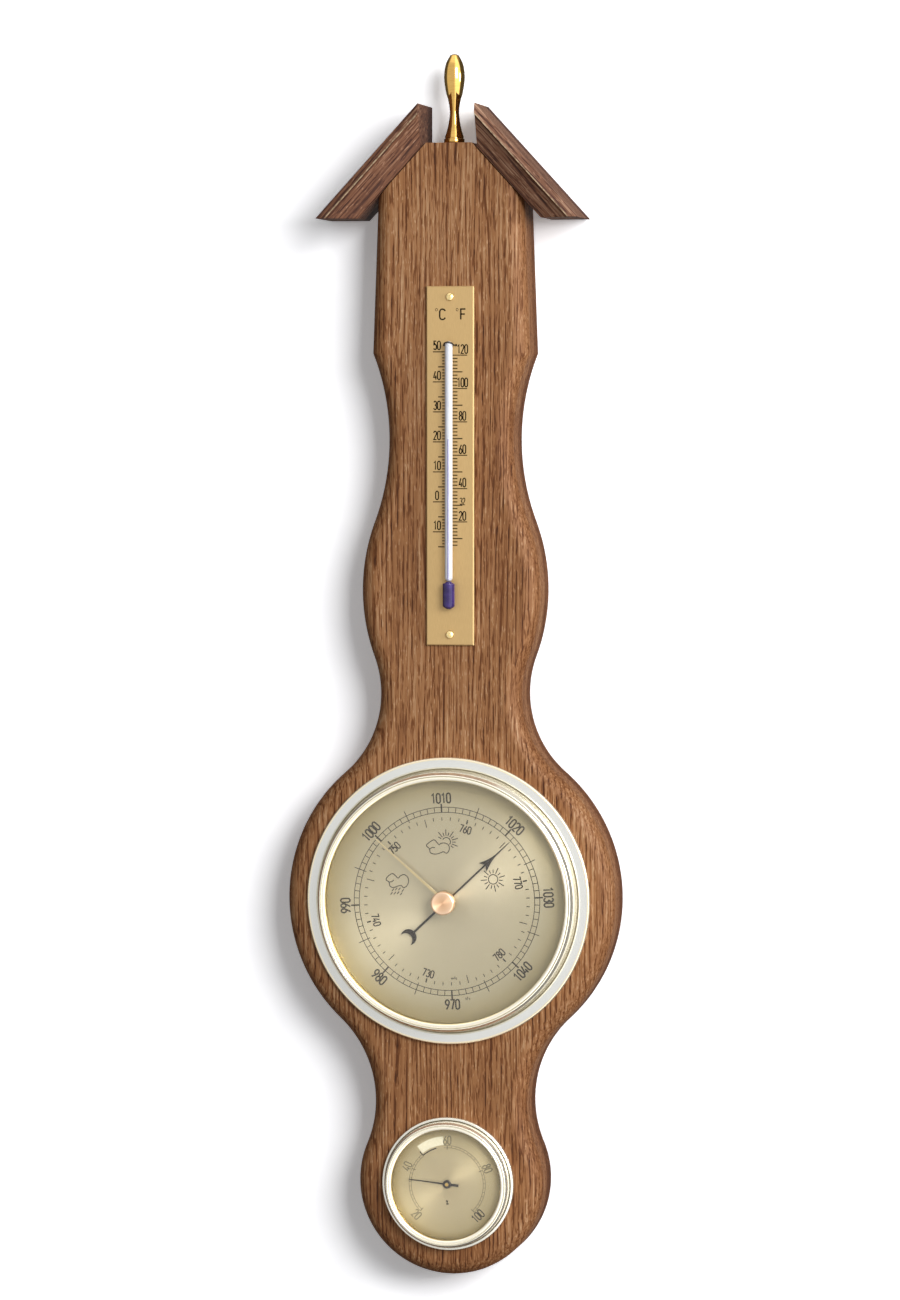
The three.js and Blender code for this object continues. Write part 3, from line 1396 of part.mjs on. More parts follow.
function hanger() {
  const group = new THREE.Group();
  group.position.set(0, 0, HANGER_Z);
  group.add(
    hangerPlate(),
    hangerScrew('hanger_screw_top', hangerScrewZ),
    hangerScrew('hanger_screw_bottom', -hangerScrewZ)
  );
  return group;
}

const group = new THREE.Group();
const strip = roofStrip();
group.add(
  board(),
  piece('roof_strip_right', strip, OAK),
  piece('roof_strip_left', strip.clone().scale(-1, 1, 1), OAK),
  finial(),
  thermometer(),
  barometer(),
  hygrometer(),
  hanger()
);

export default group;
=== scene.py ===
"""A wall weather station: a routed oak board under two roof strips, with a turned brass finial, a
spirit thermometer, an aneroid barometer and a coil hygrometer.

Sizes are in millimetres up to the moment a mesh is made. X is to the right, Z is up, and the
wall is the plane y = 0, so that a lower y is nearer the viewer.
"""

import math

import bmesh
import bpy
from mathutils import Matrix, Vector


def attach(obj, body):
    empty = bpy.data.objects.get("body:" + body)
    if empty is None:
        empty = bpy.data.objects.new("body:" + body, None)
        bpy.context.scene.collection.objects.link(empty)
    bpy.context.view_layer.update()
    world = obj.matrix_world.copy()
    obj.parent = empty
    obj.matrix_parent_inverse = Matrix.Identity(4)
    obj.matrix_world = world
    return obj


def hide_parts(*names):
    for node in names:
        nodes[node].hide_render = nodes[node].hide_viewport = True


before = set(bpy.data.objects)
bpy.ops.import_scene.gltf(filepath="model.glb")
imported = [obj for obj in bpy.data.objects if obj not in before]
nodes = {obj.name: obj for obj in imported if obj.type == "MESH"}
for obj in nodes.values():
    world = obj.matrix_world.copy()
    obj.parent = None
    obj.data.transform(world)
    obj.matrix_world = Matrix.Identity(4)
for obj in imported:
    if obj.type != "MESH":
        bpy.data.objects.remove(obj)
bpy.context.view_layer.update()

MM = 0.001
TAU = 2 * math.pi

# Board
BOARD_THICK = 22
BOARD_EDGE_ROUND = 6
BOARD_BACK_CHAMFER = 0.4
HYGRO_Z = -186.5
HYGRO_BULGE = 33.5
LOWER_WAIST_ROUND = 40
BARO_Z = -85
BARO_BULGE = 59.54
MIDDLE_WAIST_HALF = 25.7
MIDDLE_WAIST_ROUND = 37.5
THERMO_BULGE_HALF = 32.4
THERMO_BULGE_ROUND = 69
UPPER_WAIST_HALF = 22.6
UPPER_WAIST_ROUND = 83
HOUSE_HALF_LOW = 28.5
HOUSE_HALF_HIGH = 26.5
BOARD_TOP_Z = 184.9
BOARD_TOP_HALF = 8.2
BARO_BORE_R = 44.0
HYGRO_BORE_R = 20.7
HANGER_Z = 150
HANGER_RECESS = (17, 43, -1.7)  # width, height and the y of its floor
HEAD_POCKET = (11, 20, -9.7)
HANGER_SCREW_Z = 16.5  # from the hanger's middle
HANGER_SCREW_HOLE_R = 1.6

# Roof strips
ROOF_PITCH = math.radians(47.5)
ROOF_DEPTH = 28.2  # at the arris between cove and fillet
ROOF_THICK = 10.5
ROOF_FOOT_DEPTH = 22.6
ROOF_SLOPE_DEPTH = 26.1
ROOF_FILLET = 2.7
ROOF_FILLET_LEAN = 0.9
ROOF_COVE = 1.4
ROOF_EDGE_ROUND = 0.8
ROOF_RIDGE_HALF = 10.2
ROOF_EAVE_HALF = 47.4
ROOF_ARRIS = ROOF_THICK - ROOF_FILLET
SEAT = 0.3  # between two pieces that rest on each other

# Finial
FINIAL_Y = -11
FINIAL_HOLE_R = 1.7

# Thermometer: its scale is read along z
THERMO_X = 0.8
THERMO_Z = 70.2
PLATE_FACE_Y = -23.5
TUBE_Y = -26.0
TUBE_R = 1.4
TUBE_ENDS = (29.15, 114.45)
BULB_R = 2.2
BULB_ENDS = (19.25, 28.85)
CLIP_Z = 113.05
CLIP_WIRE_R = 0.25
CLIP_LEAN = 1.0
CLIP_HALF = 2.1  # its holes in the plate
CLIP_HUG = 1.72  # round the tube
CLIP_HOLE_R = 0.45
PLATE_SCREW_Z = 60.05
PLATE_SCREW_HOLE_R = 1.2
PLATE_SCREW_SEAT_Y = -23.8
CELSIUS_ZERO_Z = 57.4
CELSIUS_STEP = 1.066
ROOM_CELSIUS = 21

# Instruments: hole, radius, front and back of the rings, and y counted from the board's face
FACE_Y = -BOARD_THICK
BARO_GLASS = (1.1, 45.3, -7.8, -6.0)
BARO_SPACER = (43.7, 45.3, -5.7, -3.3)
HYGRO_GLASS = (0, 21.4, -5.4, -4.2)
HYGRO_SPACER = (20.1, 21.4, -3.9, -2.6)
DIAL_TURN = math.radians(-3.3)
POINTER_ANGLE = math.radians(46.6)
SET_HAND_ANGLE = math.radians(-48.8)
HYGRO_POINTER_ANGLE = math.radians(-84)

# Print: how proud it stands, and each face's height and print front
INK = 0.03
UNDER_INK = 0.005
BARO_PRINT = (BARO_Z, FACE_Y - 3.0 - UNDER_INK - INK)
HYGRO_PRINT = (HYGRO_Z, FACE_Y - 2.3 - UNDER_INK - INK)
PLATE_PRINT_Y = PLATE_FACE_Y - UNDER_INK - INK


# Shapes
# A shape is a pair: corners in millimetres, and faces as tuples of corner numbers.


def joined(*shapes):
    """Several shapes as one."""
    corners, faces = [], []
    for more_corners, more_faces in shapes:
        first = len(corners)
        corners += more_corners
        faces += [tuple(first + i for i in face) for face in more_faces]
    return corners, faces


def moved(shape, x=0, y=0, z=0, turn=0):
    """A shape turned clockwise, as the viewer sees it, about the Y axis, and then moved."""
    c, s = math.cos(turn), math.sin(turn)
    corners, faces = shape
    return [(a * c + d * s + x, b + y, d * c - a * s + z) for a, b, d in corners], faces


def upright(shape):
    """A shape made about the Y axis, stood up on the Z axis: its -Y end becomes the top."""
    corners, faces = shape
    return [(x, z, -y) for x, y, z in corners], faces


def turned(outline, sides):
    """A solid turned about the Y axis from (radius, y) corners. Corners of radius 0 at both ends
    close it on the axis, and any other outline is a ring's own section."""
    on_axis = outline[0][0] == 0 and outline[-1][0] == 0
    ring = outline[1:-1] if on_axis else outline
    corners, faces = [], []
    for i in range(sides):
        angle = TAU * i / sides
        corners += [(r * math.sin(angle), y, r * math.cos(angle)) for r, y in ring]
    n = len(ring)
    starts = [(i * n, (i + 1) % sides * n) for i in range(sides)]
    for a, b in starts:
        for j in range(n - 1 if on_axis else n):
            k = (j + 1) % n
            faces.append((a + j, a + k, b + k, b + j))
    if on_axis:
        first, last = len(corners), len(corners) + 1
        corners += [(0, outline[0][1], 0), (0, outline[-1][1], 0)]
        for a, b in starts:
            faces += [(first, a, b), (last, b + n - 1, a + n - 1)]
    return corners, faces


def eased(outline, steps=4, closed=True):
    """An outline of (a, b) or (a, b, radius) corners, with each radius worked in as an arc."""
    out, n = [], len(outline)
    for i, (a, b, *radius) in enumerate(outline):
        here = Vector((a, b))
        if not radius or (not closed and i in (0, n - 1)):
            out.append((a, b))
            continue
        back = Vector(outline[i - 1][:2]) - here
        on = Vector(outline[(i + 1) % n][:2]) - here
        half = back.angle(on) / 2
        reach = min(radius[0] / math.tan(half), back.length * 0.49, on.length * 0.49)
        r = reach * math.tan(half)
        middle = here + (back.normalized() + on.normalized()).normalized() * (r / math.sin(half))
        start, end = here + back.normalized() * reach, here + on.normalized() * reach
        a0 = math.atan2(start.y - middle.y, start.x - middle.x)
        a1 = math.atan2(end.y - middle.y, end.x - middle.x)
        sweep = (a1 - a0 + math.pi) % TAU - math.pi
        for k in range(steps + 1):
            angle = a0 + sweep * k / steps
            out.append((middle.x + r * math.cos(angle), middle.y + r * math.sin(angle)))
    return out


def skin(rings):
    """A solid through rings of equally many corners, closed at both ends."""
    n = len(rings[0])
    corners = [corner for ring in rings for corner in ring]
    last = len(corners) - 1
    faces = [tuple(range(n)), tuple(range(last, last - n, -1))]
    for first in range(0, len(corners) - n, n):
        for i in range(n):
            a, b = first + i, first + (i + 1) % n
            faces.append((a, b, b + n, a + n))
    return corners, faces


def flat(outline, front, back):
    """A flat piece: an outline of (x, z) corners, from y = front to y = back."""
    return skin([[(x, y, z) for x, z in outline] for y in (front, back)])


def both_sides(right):
    """An outline from its right side, mirrored to the left."""
    return right + [(-x, z) for x, z in reversed(right)]


def arc(x, z, rx, rz, start, end, steps=10):
    """Points along an arc, its angles in degrees anticlockwise from the right."""
    angles = [math.radians(start + (end - start) * i / steps) for i in range(steps + 1)]
    return [(x + rx * math.cos(a), z + rz * math.sin(a)) for a in angles]


def through(points, per_span=6, closed=False):
    """A smooth line through the points."""
    n, out = len(points), []
    for i in range(n if closed else n - 1):
        near = [(i + k) % n if closed else min(max(i + k, 0), n - 1) for k in (-1, 0, 1, 2)]
        p0, p1, p2, p3 = (Vector(points[k]) for k in near)
        for k in range(per_span):
            t = k / per_span
            bend = (2 * p0 - 5 * p1 + 4 * p2 - p3) * t**2 + (3 * p1 - p0 - 3 * p2 + p3) * t**3
            out.append(tuple(0.5 * (2 * p1 + (p2 - p0) * t + bend)))
    return out if closed else out + [tuple(points[-1])]


def ribbon(path, width, front, back, closed=False):
    """A flat strip of even width along a line of (x, z) points."""
    n, sides = len(path), ([], [])
    for i, (x, z) in enumerate(path):
        before = Vector(path[i - 1]) if closed or i else None
        after = Vector(path[(i + 1) % n]) if closed or i < n - 1 else None
        here = Vector((x, z))
        arriving = (here - before).normalized() if before else (after - here).normalized()
        leaving = (after - here).normalized() if after else arriving
        along = (arriving + leaving).normalized() if (arriving + leaving).length > 1e-6 else leaving
        stretch = min(1 / max(along.dot(arriving), 0.3), 1.6)
        out = Vector((-along.y, along.x)) * (width / 2 * stretch)
        for side, sign in zip(sides, (1, -1)):
            side.append((x + out.x * sign, z + out.y * sign))
    if not closed:
        return flat(sides[0] + sides[1][::-1], front, back)
    corners = [(x, y, z) for y in (front, back) for side in sides for x, z in side]
    faces = []
    for i in range(n):
        j = (i + 1) % n
        for a, b in ((0, 1), (1, 3), (3, 2), (2, 0)):
            faces.append((a * n + i, a * n + j, b * n + j, b * n + i))
    return corners, faces


# Pieces


def mesh_of(name, shape):
    """A shape as a mesh in metres, its faces turned outward."""
    corners, faces = shape
    mesh = bpy.data.meshes.new(name)
    mesh.from_pydata([Vector(c) * MM for c in corners], [], faces)
    made = bmesh.new()
    made.from_mesh(mesh)
    bmesh.ops.remove_doubles(made, verts=made.verts, dist=1e-8)
    bmesh.ops.recalc_face_normals(made, faces=made.faces)
    made.to_mesh(mesh)
    made.free()
    return mesh


def placed(name, data):
    """A mesh, a lamp or a camera put into the scene."""
    thing = bpy.data.objects.new(name, data)
    bpy.context.scene.collection.objects.link(thing)
    return thing


def piece(name, shape, finish, replaces=None, body="frame", sharp=35, edge=0):
    """A shape made into a piece that rides on a body. edge is a small round on its edges."""
    mesh = mesh_of(name, shape)
    mesh.materials.append(finish)
    thing = placed(name, mesh)
    if edge:
        bevel = thing.modifiers.new("eased_edges", "BEVEL")
        bevel.width, bevel.segments = edge * MM, 2
        bevel.limit_method, bevel.angle_limit = "ANGLE", math.radians(sharp)
        settle(thing)
    smooth(thing, sharp)
    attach(thing, body)
    if replaces:
        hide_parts(replaces)
    return thing


def settle(thing):
    """Works the modifiers into the mesh."""
    bpy.context.view_layer.update()
    seen = thing.evaluated_get(bpy.context.evaluated_depsgraph_get())
    mesh = bpy.data.meshes.new_from_object(seen)
    thing.modifiers.clear()
    thing.data = mesh


def smooth(thing, sharp):
    """Shades curved faces smoothly, keeps edges sharper than this, and keeps flat faces flat."""
    mesh = thing.data
    mesh.polygons.foreach_set("use_smooth", [True] * len(mesh.polygons))
    mesh.set_sharp_from_angle(angle=math.radians(sharp))
    weighted = thing.modifiers.new("flat_faces_stay_flat", "WEIGHTED_NORMAL")
    weighted.keep_sharp = True


def carve(thing, *cutters, sharp=35):
    """Cuts solids out of a piece."""
    thing.modifiers.clear()
    for shape in cutters:
        cutter = placed("cutter", mesh_of("cutter", shape))
        cut = thing.modifiers.new("cut", "BOOLEAN")
        cut.operation, cut.solver, cut.object = "DIFFERENCE", "EXACT", cutter
        settle(thing)
        bpy.data.objects.remove(cutter)
    smooth(thing, sharp)


# Finishes


def linear(hex_colour):
    """A colour written as sRGB hex, in the linear values that shaders take."""
    out = []
    for i in (1, 3, 5):
        v = int(hex_colour[i : i + 2], 16) / 255
        out.append(v / 12.92 if v <= 0.04045 else ((v + 0.055) / 1.055) ** 2.4)
    return (*out, 1.0)


def add(tree, kind, inputs=(), take=0, stops=(), **settings):
    """Adds a node and returns one of its outputs. inputs are numbers or other nodes' outputs, in
    order or by name, and stops are a ramp's places and colours."""
    node = tree.nodes.new("ShaderNode" + kind)
    for name, value in settings.items():
        setattr(node, name, value)
    for name, source in (inputs if isinstance(inputs, dict) else dict(enumerate(inputs))).items():
        if isinstance(source, bpy.types.NodeSocket):
            tree.links.new(source, node.inputs[name])
        else:
            node.inputs[name].default_value = source
    for i, (place, colour) in enumerate(stops):
        marks = node.color_ramp.elements
        mark = marks[i] if i < len(marks) else marks.new(place)
        mark.position, mark.color = place, linear(colour)
    return node.outputs[take] if node.outputs else None


def blank(data):
    """A material or a world, and its node tree, emptied."""
    data.use_nodes = True
    data.node_tree.nodes.clear()
    return data, data.node_tree


def new_finish(name):
    return blank(bpy.data.materials.new(name))


def surface_of(tree, **sockets):
    """The shader of a finish. A number is the same all over, and another node's output varies."""
    values = {key.replace("_", " "): value for key, value in sockets.items()}
    add(tree, "OutputMaterial", {"Surface": add(tree, "BsdfPrincipled", values)})


def in_mm(tree, *scale):
    """The piece's own coordinates in millimetres, and then scaled."""
    own = add(tree, "TexCoord", take="Object")
    size = [1000 * s for s in scale or (1, 1, 1)]
    return add(tree, "VectorMath", (own, size), operation="MULTIPLY")


def stained_oak(name, lean, tones, stain, worn_and_highlit_edge=None):
    """Open-pored oak, planed, stained brown and sealed with a thin satin lacquer. The pores take
    the stain and show as dark lines a few millimetres long, which run together in the year rings.
    Real ones are 0.3 mm wide and would be lost, so they are drawn 0.5 mm wide. Paler fibres and short
    light flecks lie between them. lean turns the grain from upright, the tones go from the palest fibre to
    the deepest pore, and stain is how deep it lies on this piece. The last argument is an edge, as a point
    on it and its direction, where the stain has gone through to pale, unstained wood; that pale line also
    serves as a painted highlight, where the arris catches the light."""
    material, tree = new_finish(name)

    def layer(vector, width, length, detail, seed, low, high, start=0.0, end=1.0):
        """Random streaks this wide and long. What lies between low and high runs from start to
        end."""
        size = (1 / width, 1 / width, 1 / length)
        at = add(tree, "VectorMath", (vector, size, (seed,) * 3), operation="MULTIPLY_ADD")
        found = add(tree, "TexNoise", {"Vector": at, "Scale": 1, "Detail": detail})
        return add(tree, "MapRange", (found, low, high, start, end))

    own = in_mm(tree)
    at = add(tree, "SeparateXYZ", (own,)).node.outputs
    grain = add(tree, "VectorRotate", {"Vector": own, "Angle": lean}, rotation_type="Y_AXIS")
    # the grain wanders a few millimetres over a hand's breadth
    drift = add(tree, "CombineXYZ", (layer(grain, 30, 150, 1, 3.1, 0, 1, -3, 3),))
    grain = add(tree, "VectorMath", (grain, drift), operation="ADD")

    # year rings, and the pores and pale fibres that keep to them
    axes = add(tree, "SeparateXYZ", (grain,)).node.outputs
    across = add(tree, "Math", (axes["Y"], 0.35, axes["X"]), operation="MULTIPLY_ADD")
    waver = layer(grain, 5, 80, 1, 8.7, 0, 1, -2.5, 2.5)
    across = add(tree, "Math", (across, waver), operation="ADD")
    turns = add(tree, "Math", (across, TAU / RIB_PITCH), operation="MULTIPLY")
    wave = add(tree, "Math", (turns,), operation="SINE")
    dark, light = (add(tree, "MapRange", (wave, *ends)) for ends in ((0.55, 0.97), (-0.3, -0.9)))
    rib = add(tree, "Math", (dark, layer(grain, 1.6, 8, 1, 6.3, 0.4, 0.54)), operation="MULTIPLY")
    pale = add(tree, "Math", (light, layer(grain, 1.2, 14, 1, 2.9, 0.45, 0.6)), operation="MULTIPLY")

    pore = layer(grain, 0.5, 6, 1, 1.3, 0.56, 0.66)
    streak = layer(grain, 0.6, 45, 2, 5.9, 0.34, 0.66)
    fleck = layer(grain, 0.45, 2.4, 1, 4.4, 0.62, 0.72)
    patch = layer(grain, 13, 70, 2, 2.2, 0.3, 0.7)
    # the moulded edge cuts across the fibres, so there the pores are dots
    dot = layer(own, 0.5, 1.3, 1, 9.1, 0.54, 0.64)
    moulded = (at["Y"], FACE_Y + 0.6, FACE_Y + 3.5)
    along_fibres = add(tree, "MapRange", (*moulded, 1, 0.25))
    across_fibres = add(tree, "MapRange", (*moulded, 0, 0.75))
    rib, pore, dot = (
        add(tree, "Math", pair, operation="MULTIPLY")
        for pair in ((rib, along_fibres), (pore, along_fibres), (dot, across_fibres))
    )

    depth = stain
    for part, share in (
        (rib, 0.4), (pore, 0.28), (dot, 0.34), (streak, 0.24), (patch, 0.16), (pale, -0.14), (fleck, -0.2),
    ):
        depth = add(tree, "Math", (part, share, depth), operation="MULTIPLY_ADD")
    # painted shade: the sides near the wall, and on the board the moulded edge and the lower end, are
    # drawn darker than the face, standing in for the shade that falls there
    painted_shade = [(at["Y"], -10, -6, 0, 0.3)]
    if not worn_and_highlit_edge:
        painted_shade += [(*moulded, 0, 0.07), (at["Z"], -150, -120, 0.05, 0)]
    for reach in painted_shade:
        depth = add(tree, "Math", (depth, add(tree, "MapRange", reach)), operation="ADD")
    shade = add(tree, "ValToRGB", (depth,), stops=zip((0.0, 0.33, 0.62, 1.0), tones))
    if worn_and_highlit_edge:
        point, along = worn_and_highlit_edge
        to_edge = add(tree, "VectorMath", (own, point), operation="SUBTRACT")
        square = add(tree, "VectorMath", (to_edge, along), operation="CROSS_PRODUCT")
        away = add(tree, "VectorMath", (square,), "Value", operation="LENGTH")
        run = add(tree, "VectorMath", (to_edge, along), "Value", operation="DOT_PRODUCT")
        # painted highlight: the pale line where the stain has gone through along the arris also stands in
        # for the light that the edge catches
        rubbed_and_highlit = layer(own, 1.6, 1.6, 2, 7.7, 0.4, 0.55, 0.3, 1)
        for reach in ((away, 0.15, 0.5, 0.8, 0), (run, 5, 9, 0, 1)):
            rubbed_and_highlit = add(tree, "Math", (rubbed_and_highlit, add(tree, "MapRange", reach)), operation="MULTIPLY")
        bare_and_highlight = {0: rubbed_and_highlit, 6: shade, 7: linear(BARE_OAK_AND_HIGHLIGHT)}
        shade = add(tree, "Mix", bare_and_highlight, 2, data_type="RGBA")
    hollow = rib
    for other in (pore, dot):
        hollow = add(tree, "Math", (hollow, other), operation="MAXIMUM")
    dents = {"Height": hollow, "Strength": 0.6, "Distance": 0.0001}
    surface_of(
        tree,
        Base_Color=shade,
        Roughness=add(tree, "MapRange", (depth, 0, 1, 0.46, 0.68)),
        Specular_IOR_Level=0.2,
        Normal=add(tree, "Bump", dents, invert=True),
    )
    return material


def mottled(name, pale, deep, grit, rough, brush=(1, 1, 1), relief=0.2, dent=0.00001, **uniform):
    """A finish that wavers a little between two tones. grit is the pattern's size in millimetres.
    Real grit is under 0.1 mm, too fine to show, so it is drawn as coarse as it needs to be. brush
    stretches it into the lines that a wheel or a belt leaves."""
    material, tree = new_finish(name)
    at = in_mm(tree, *[b / grit for b in brush])
    grain = add(tree, "TexNoise", {"Vector": at, "Scale": 1, "Detail": 3})
    surface_of(
        tree,
        Base_Color=add(tree, "ValToRGB", (grain,), stops=[(0.3, pale), (0.7, deep)]),
        Roughness=add(tree, "MapRange", (grain, 0, 1, *rough)),
        Normal=add(tree, "Bump", {"Height": grain, "Strength": relief, "Distance": dent}),
        **uniform,
    )
    return material


def metal(*look, metallic=1.0, dent=0.000004, **more):
    """A metal, bare or under a clear lacquer."""
    return mottled(*look, Metallic=metallic, relief=0.3, dent=dent, **more)


def ringed(tree, z, zones, inner, outer, pitch):
    """The colours of zones, which are (radius, hex) from the middle out, round an axis along Y at
    this height, and the lines that turning leaves, as a second output."""
    at = add(tree, "VectorMath", (in_mm(tree), (0, 0, z)), operation="SUBTRACT")
    plane = add(tree, "VectorMath", (at, (1, 0, 1)), operation="MULTIPLY")
    radius = add(tree, "VectorMath", (plane,), "Value", operation="LENGTH")
    share = add(tree, "MapRange", (radius, inner, outer))
    stops = [((r - inner) / (outer - inner), colour) for r, colour in zones]
    rings = add(tree, "Math", (radius, 1 / pitch), operation="MULTIPLY")
    spoke = add(tree, "CombineXYZ", (rings,))
    line = add(tree, "TexNoise", {"Vector": spoke, "Scale": 1, "Detail": 2})
    return add(tree, "ValToRGB", (share,), stops=stops), line


def round_brushed(name, z, zones, rough, anisotropic, pitch, metallic=1.0):
    """A disc of metal brushed or faced while it turns: fine rings, which spread the light into two
    pale fans. Real ones are 0.1 mm apart and are drawn two or three times as coarse to show."""
    material, tree = new_finish(name)
    tone, line = ringed(tree, z, zones, 0, zones[-1][0], pitch)
    soft = add(tree, "MapRange", (line, 0, 1, 0.95, 1.04))
    surface_of(
        tree,
        Base_Color=add(tree, "VectorMath", {0: tone, "Scale": soft}, operation="SCALE"),
        Metallic=metallic,
        Roughness=rough,
        Anisotropic=anisotropic,
        Anisotropic_Rotation=0.25,
        Normal=add(tree, "Bump", {"Height": line, "Strength": 0.1, "Distance": 0.00001}),
        Tangent=add(tree, "Tangent", direction_type="RADIAL", axis="Y"),
    )
    return material


def spun_bezel(name, z, zones, outer):
    """One spun brass ring in two lacquers: the raised rim is warm and nearly white, and the flange is
    silvered with a warm edge. The groove between them is painted dark as painted shade."""
    material, tree = new_finish(name)
    tone, line = ringed(tree, z, zones, zones[0][0] - 0.5, outer, SPINNING_PITCH)
    surface_of(
        tree,
        Base_Color=tone,
        Metallic=0.75,
        Roughness=add(tree, "MapRange", (line, 0, 1, 0.13, 0.24)),
        Normal=add(tree, "Bump", {"Height": line, "Strength": 0.12, "Distance": 0.00002}),
    )
    return material


def float_glass(name):
    """Clear float glass: bright where it mirrors the room, and otherwise only what lies behind.
    It lets the lamps through to the dial."""
    material, tree = new_finish(name)
    values = {"Base Color": (1, 1, 1, 1), "Roughness": 0, "IOR": 1.45, "Transmission Weight": 1}
    glass = add(tree, "BsdfPrincipled", values)
    shadow = add(tree, "LightPath", take="Is Shadow Ray")
    both = add(tree, "MixShader", (shadow, glass, add(tree, "BsdfTransparent")))
    add(tree, "OutputMaterial", {"Surface": both})
    return material


def roof_underside(x):
    return BOARD_TOP_Z + SEAT / math.cos(ROOF_PITCH) - (x - BOARD_TOP_HALF) * math.tan(ROOF_PITCH)


def arris_of(side):
    """A roof strip's front edge: its point over the eave, and the way uphill."""
    sin, cos = math.sin(ROOF_PITCH), math.cos(ROOF_PITCH)
    x, z = ROOF_EAVE_HALF + ROOF_ARRIS * sin, roof_underside(ROOF_EAVE_HALF) + ROOF_ARRIS * cos
    return (side * x, -ROOF_DEPTH, z), (-side * cos, 0, sin)


OAK_TONES = ("#c8a07a", "#9f6f48", "#724525", "#40210f")
ROOF_TONES = ("#bb957a", "#7a523c", "#4e3127", "#281710")
# pale unstained oak of the arris line, which also serves as a painted highlight on the edge
BARE_OAK_AND_HIGHLIGHT = "#dcc6a2"
RIB_PITCH = 1.9  # between the dark lines of the grain
ROOF_LEAN = math.pi / 2 - ROOF_PITCH
SPINNING_PITCH = 0.4  # between the lines on a bezel: really 0.1, and drawn coarser to show

# Oak, stained and satin-lacquered: warm brown with dark pores, and redder and darker on the roof.
oak_upright = stained_oak("stained_oak_upright_grain", 0, OAK_TONES, 0.16)
oak_right = stained_oak(
    "stained_oak_grain_down_the_right_slope", ROOF_LEAN, ROOF_TONES, 0.1, arris_of(1)
)
oak_left = stained_oak(
    "stained_oak_grain_down_the_left_slope", -ROOF_LEAN, ROOF_TONES, 0.22, arris_of(-1)
)
# Turned brass, polished and lacquered: a clear yellow mirror with fine turning lines.
finial_brass = metal(
    "polished_turned_brass", "#dcb468", "#cfa256", 0.5, (0.08, 0.14), brush=(0.2, 0.2, 3)
)
# Rolled brass sheet, satin-brushed and lacquered: an even dull gold.
plate_brass = metal(
    "satin_brass_sheet", "#c6a672", "#bb9b67", 0.35, (0.42, 0.52), brush=(3, 1, 0.15), metallic=0.5
)
# Brass screws, turned and tumbled: small bright domes.
screw_brass = metal("turned_brass_screw", "#f0dca8", "#dcc284", 0.4, (0.2, 0.32))
# Brass parts of the movement, milled and left bare: yellow, with short cutter lines.
movement_brass = metal("milled_brass", "#cfae62", "#bd9a50", 0.6, (0.3, 0.42), brush=(1, 1, 3))
# Brass stamped and pressed, such as the capsule and the bridges: a soft, cloudy yellow.
pressed_brass = metal("pressed_brass", "#c9a95f", "#b99850", 1.2, (0.36, 0.5))
# Steel, zinc plated: a cool grey with a faint spangle.
plated_steel = metal("zinc_plated_steel", "#b9bcbd", "#a3a7a8", 1.6, (0.34, 0.5), dent=0.00001)
# Steel, ground or drawn, for shafts, springs and screws: a clean grey with fine lines.
ground_steel = metal("ground_steel", "#aeb1b4", "#96999c", 0.5, (0.28, 0.4), brush=(1, 1, 4))
# Steel wire, drawn and oil-blackened: a thin dark clip.
black_wire = metal("blackened_steel_wire", "#4a4744", "#383532", 0.5, (0.3, 0.42))
# Set hand: stamped brass under a pale lacquer, which dulls it to a soft straw.
hand_brass = metal("lacquered_brass_hand", "#c3b288", "#b5a378", 0.4, (0.34, 0.44))
# Hanger plate: stamped steel, yellow passivated: a dull straw with broad faint clouds.
hanger_steel = metal("yellow_passivated_steel", "#c9b98a", "#b5a675", 2.0, (0.36, 0.52))
# Pressed brass spacer rings inside the bezels, lacquered: a quiet band of deeper gold.
spacer_gold = metal("gold_lacquered_ring", "#c2ad74", "#b59f66", 0.8, (0.3, 0.4))
# Dials: aluminium sheet brushed in rings and anodised gold. The darker tones towards the rim are painted
# shade and painted reflection of the bezel.
dial_gold = round_brushed(
    "circular_brushed_gold_dial",
    BARO_Z,
    [(0, "#a1977c"), (16, "#a3997e"), (35, "#9d9376"), (40, "#928663"), (45.3, "#887b53")],
    0.36, 0.8, 0.35, metallic=0.65,
)
hygro_gold = round_brushed(
    "circular_brushed_gold_small_dial",
    HYGRO_Z,
    [(0, "#a39471"), (10, "#a59774"), (17, "#9f9069"), (19, "#8f7e50"), (21.4, "#6c5e38")],
    0.36, 0.8, 0.3, metallic=0.65,
)
# Set knob: brass faced on a lathe, its rings fine and bright under a copper-coloured lacquer.
knob_copper = round_brushed(
    "faced_copper_coloured_brass",
    BARO_Z,
    [(0, "#dcb08a"), (2.4, "#e9c19c"), (3.7, "#f2d0b0"), (4.2, "#e0b58e")],
    0.32, 0.85, 0.25,
)
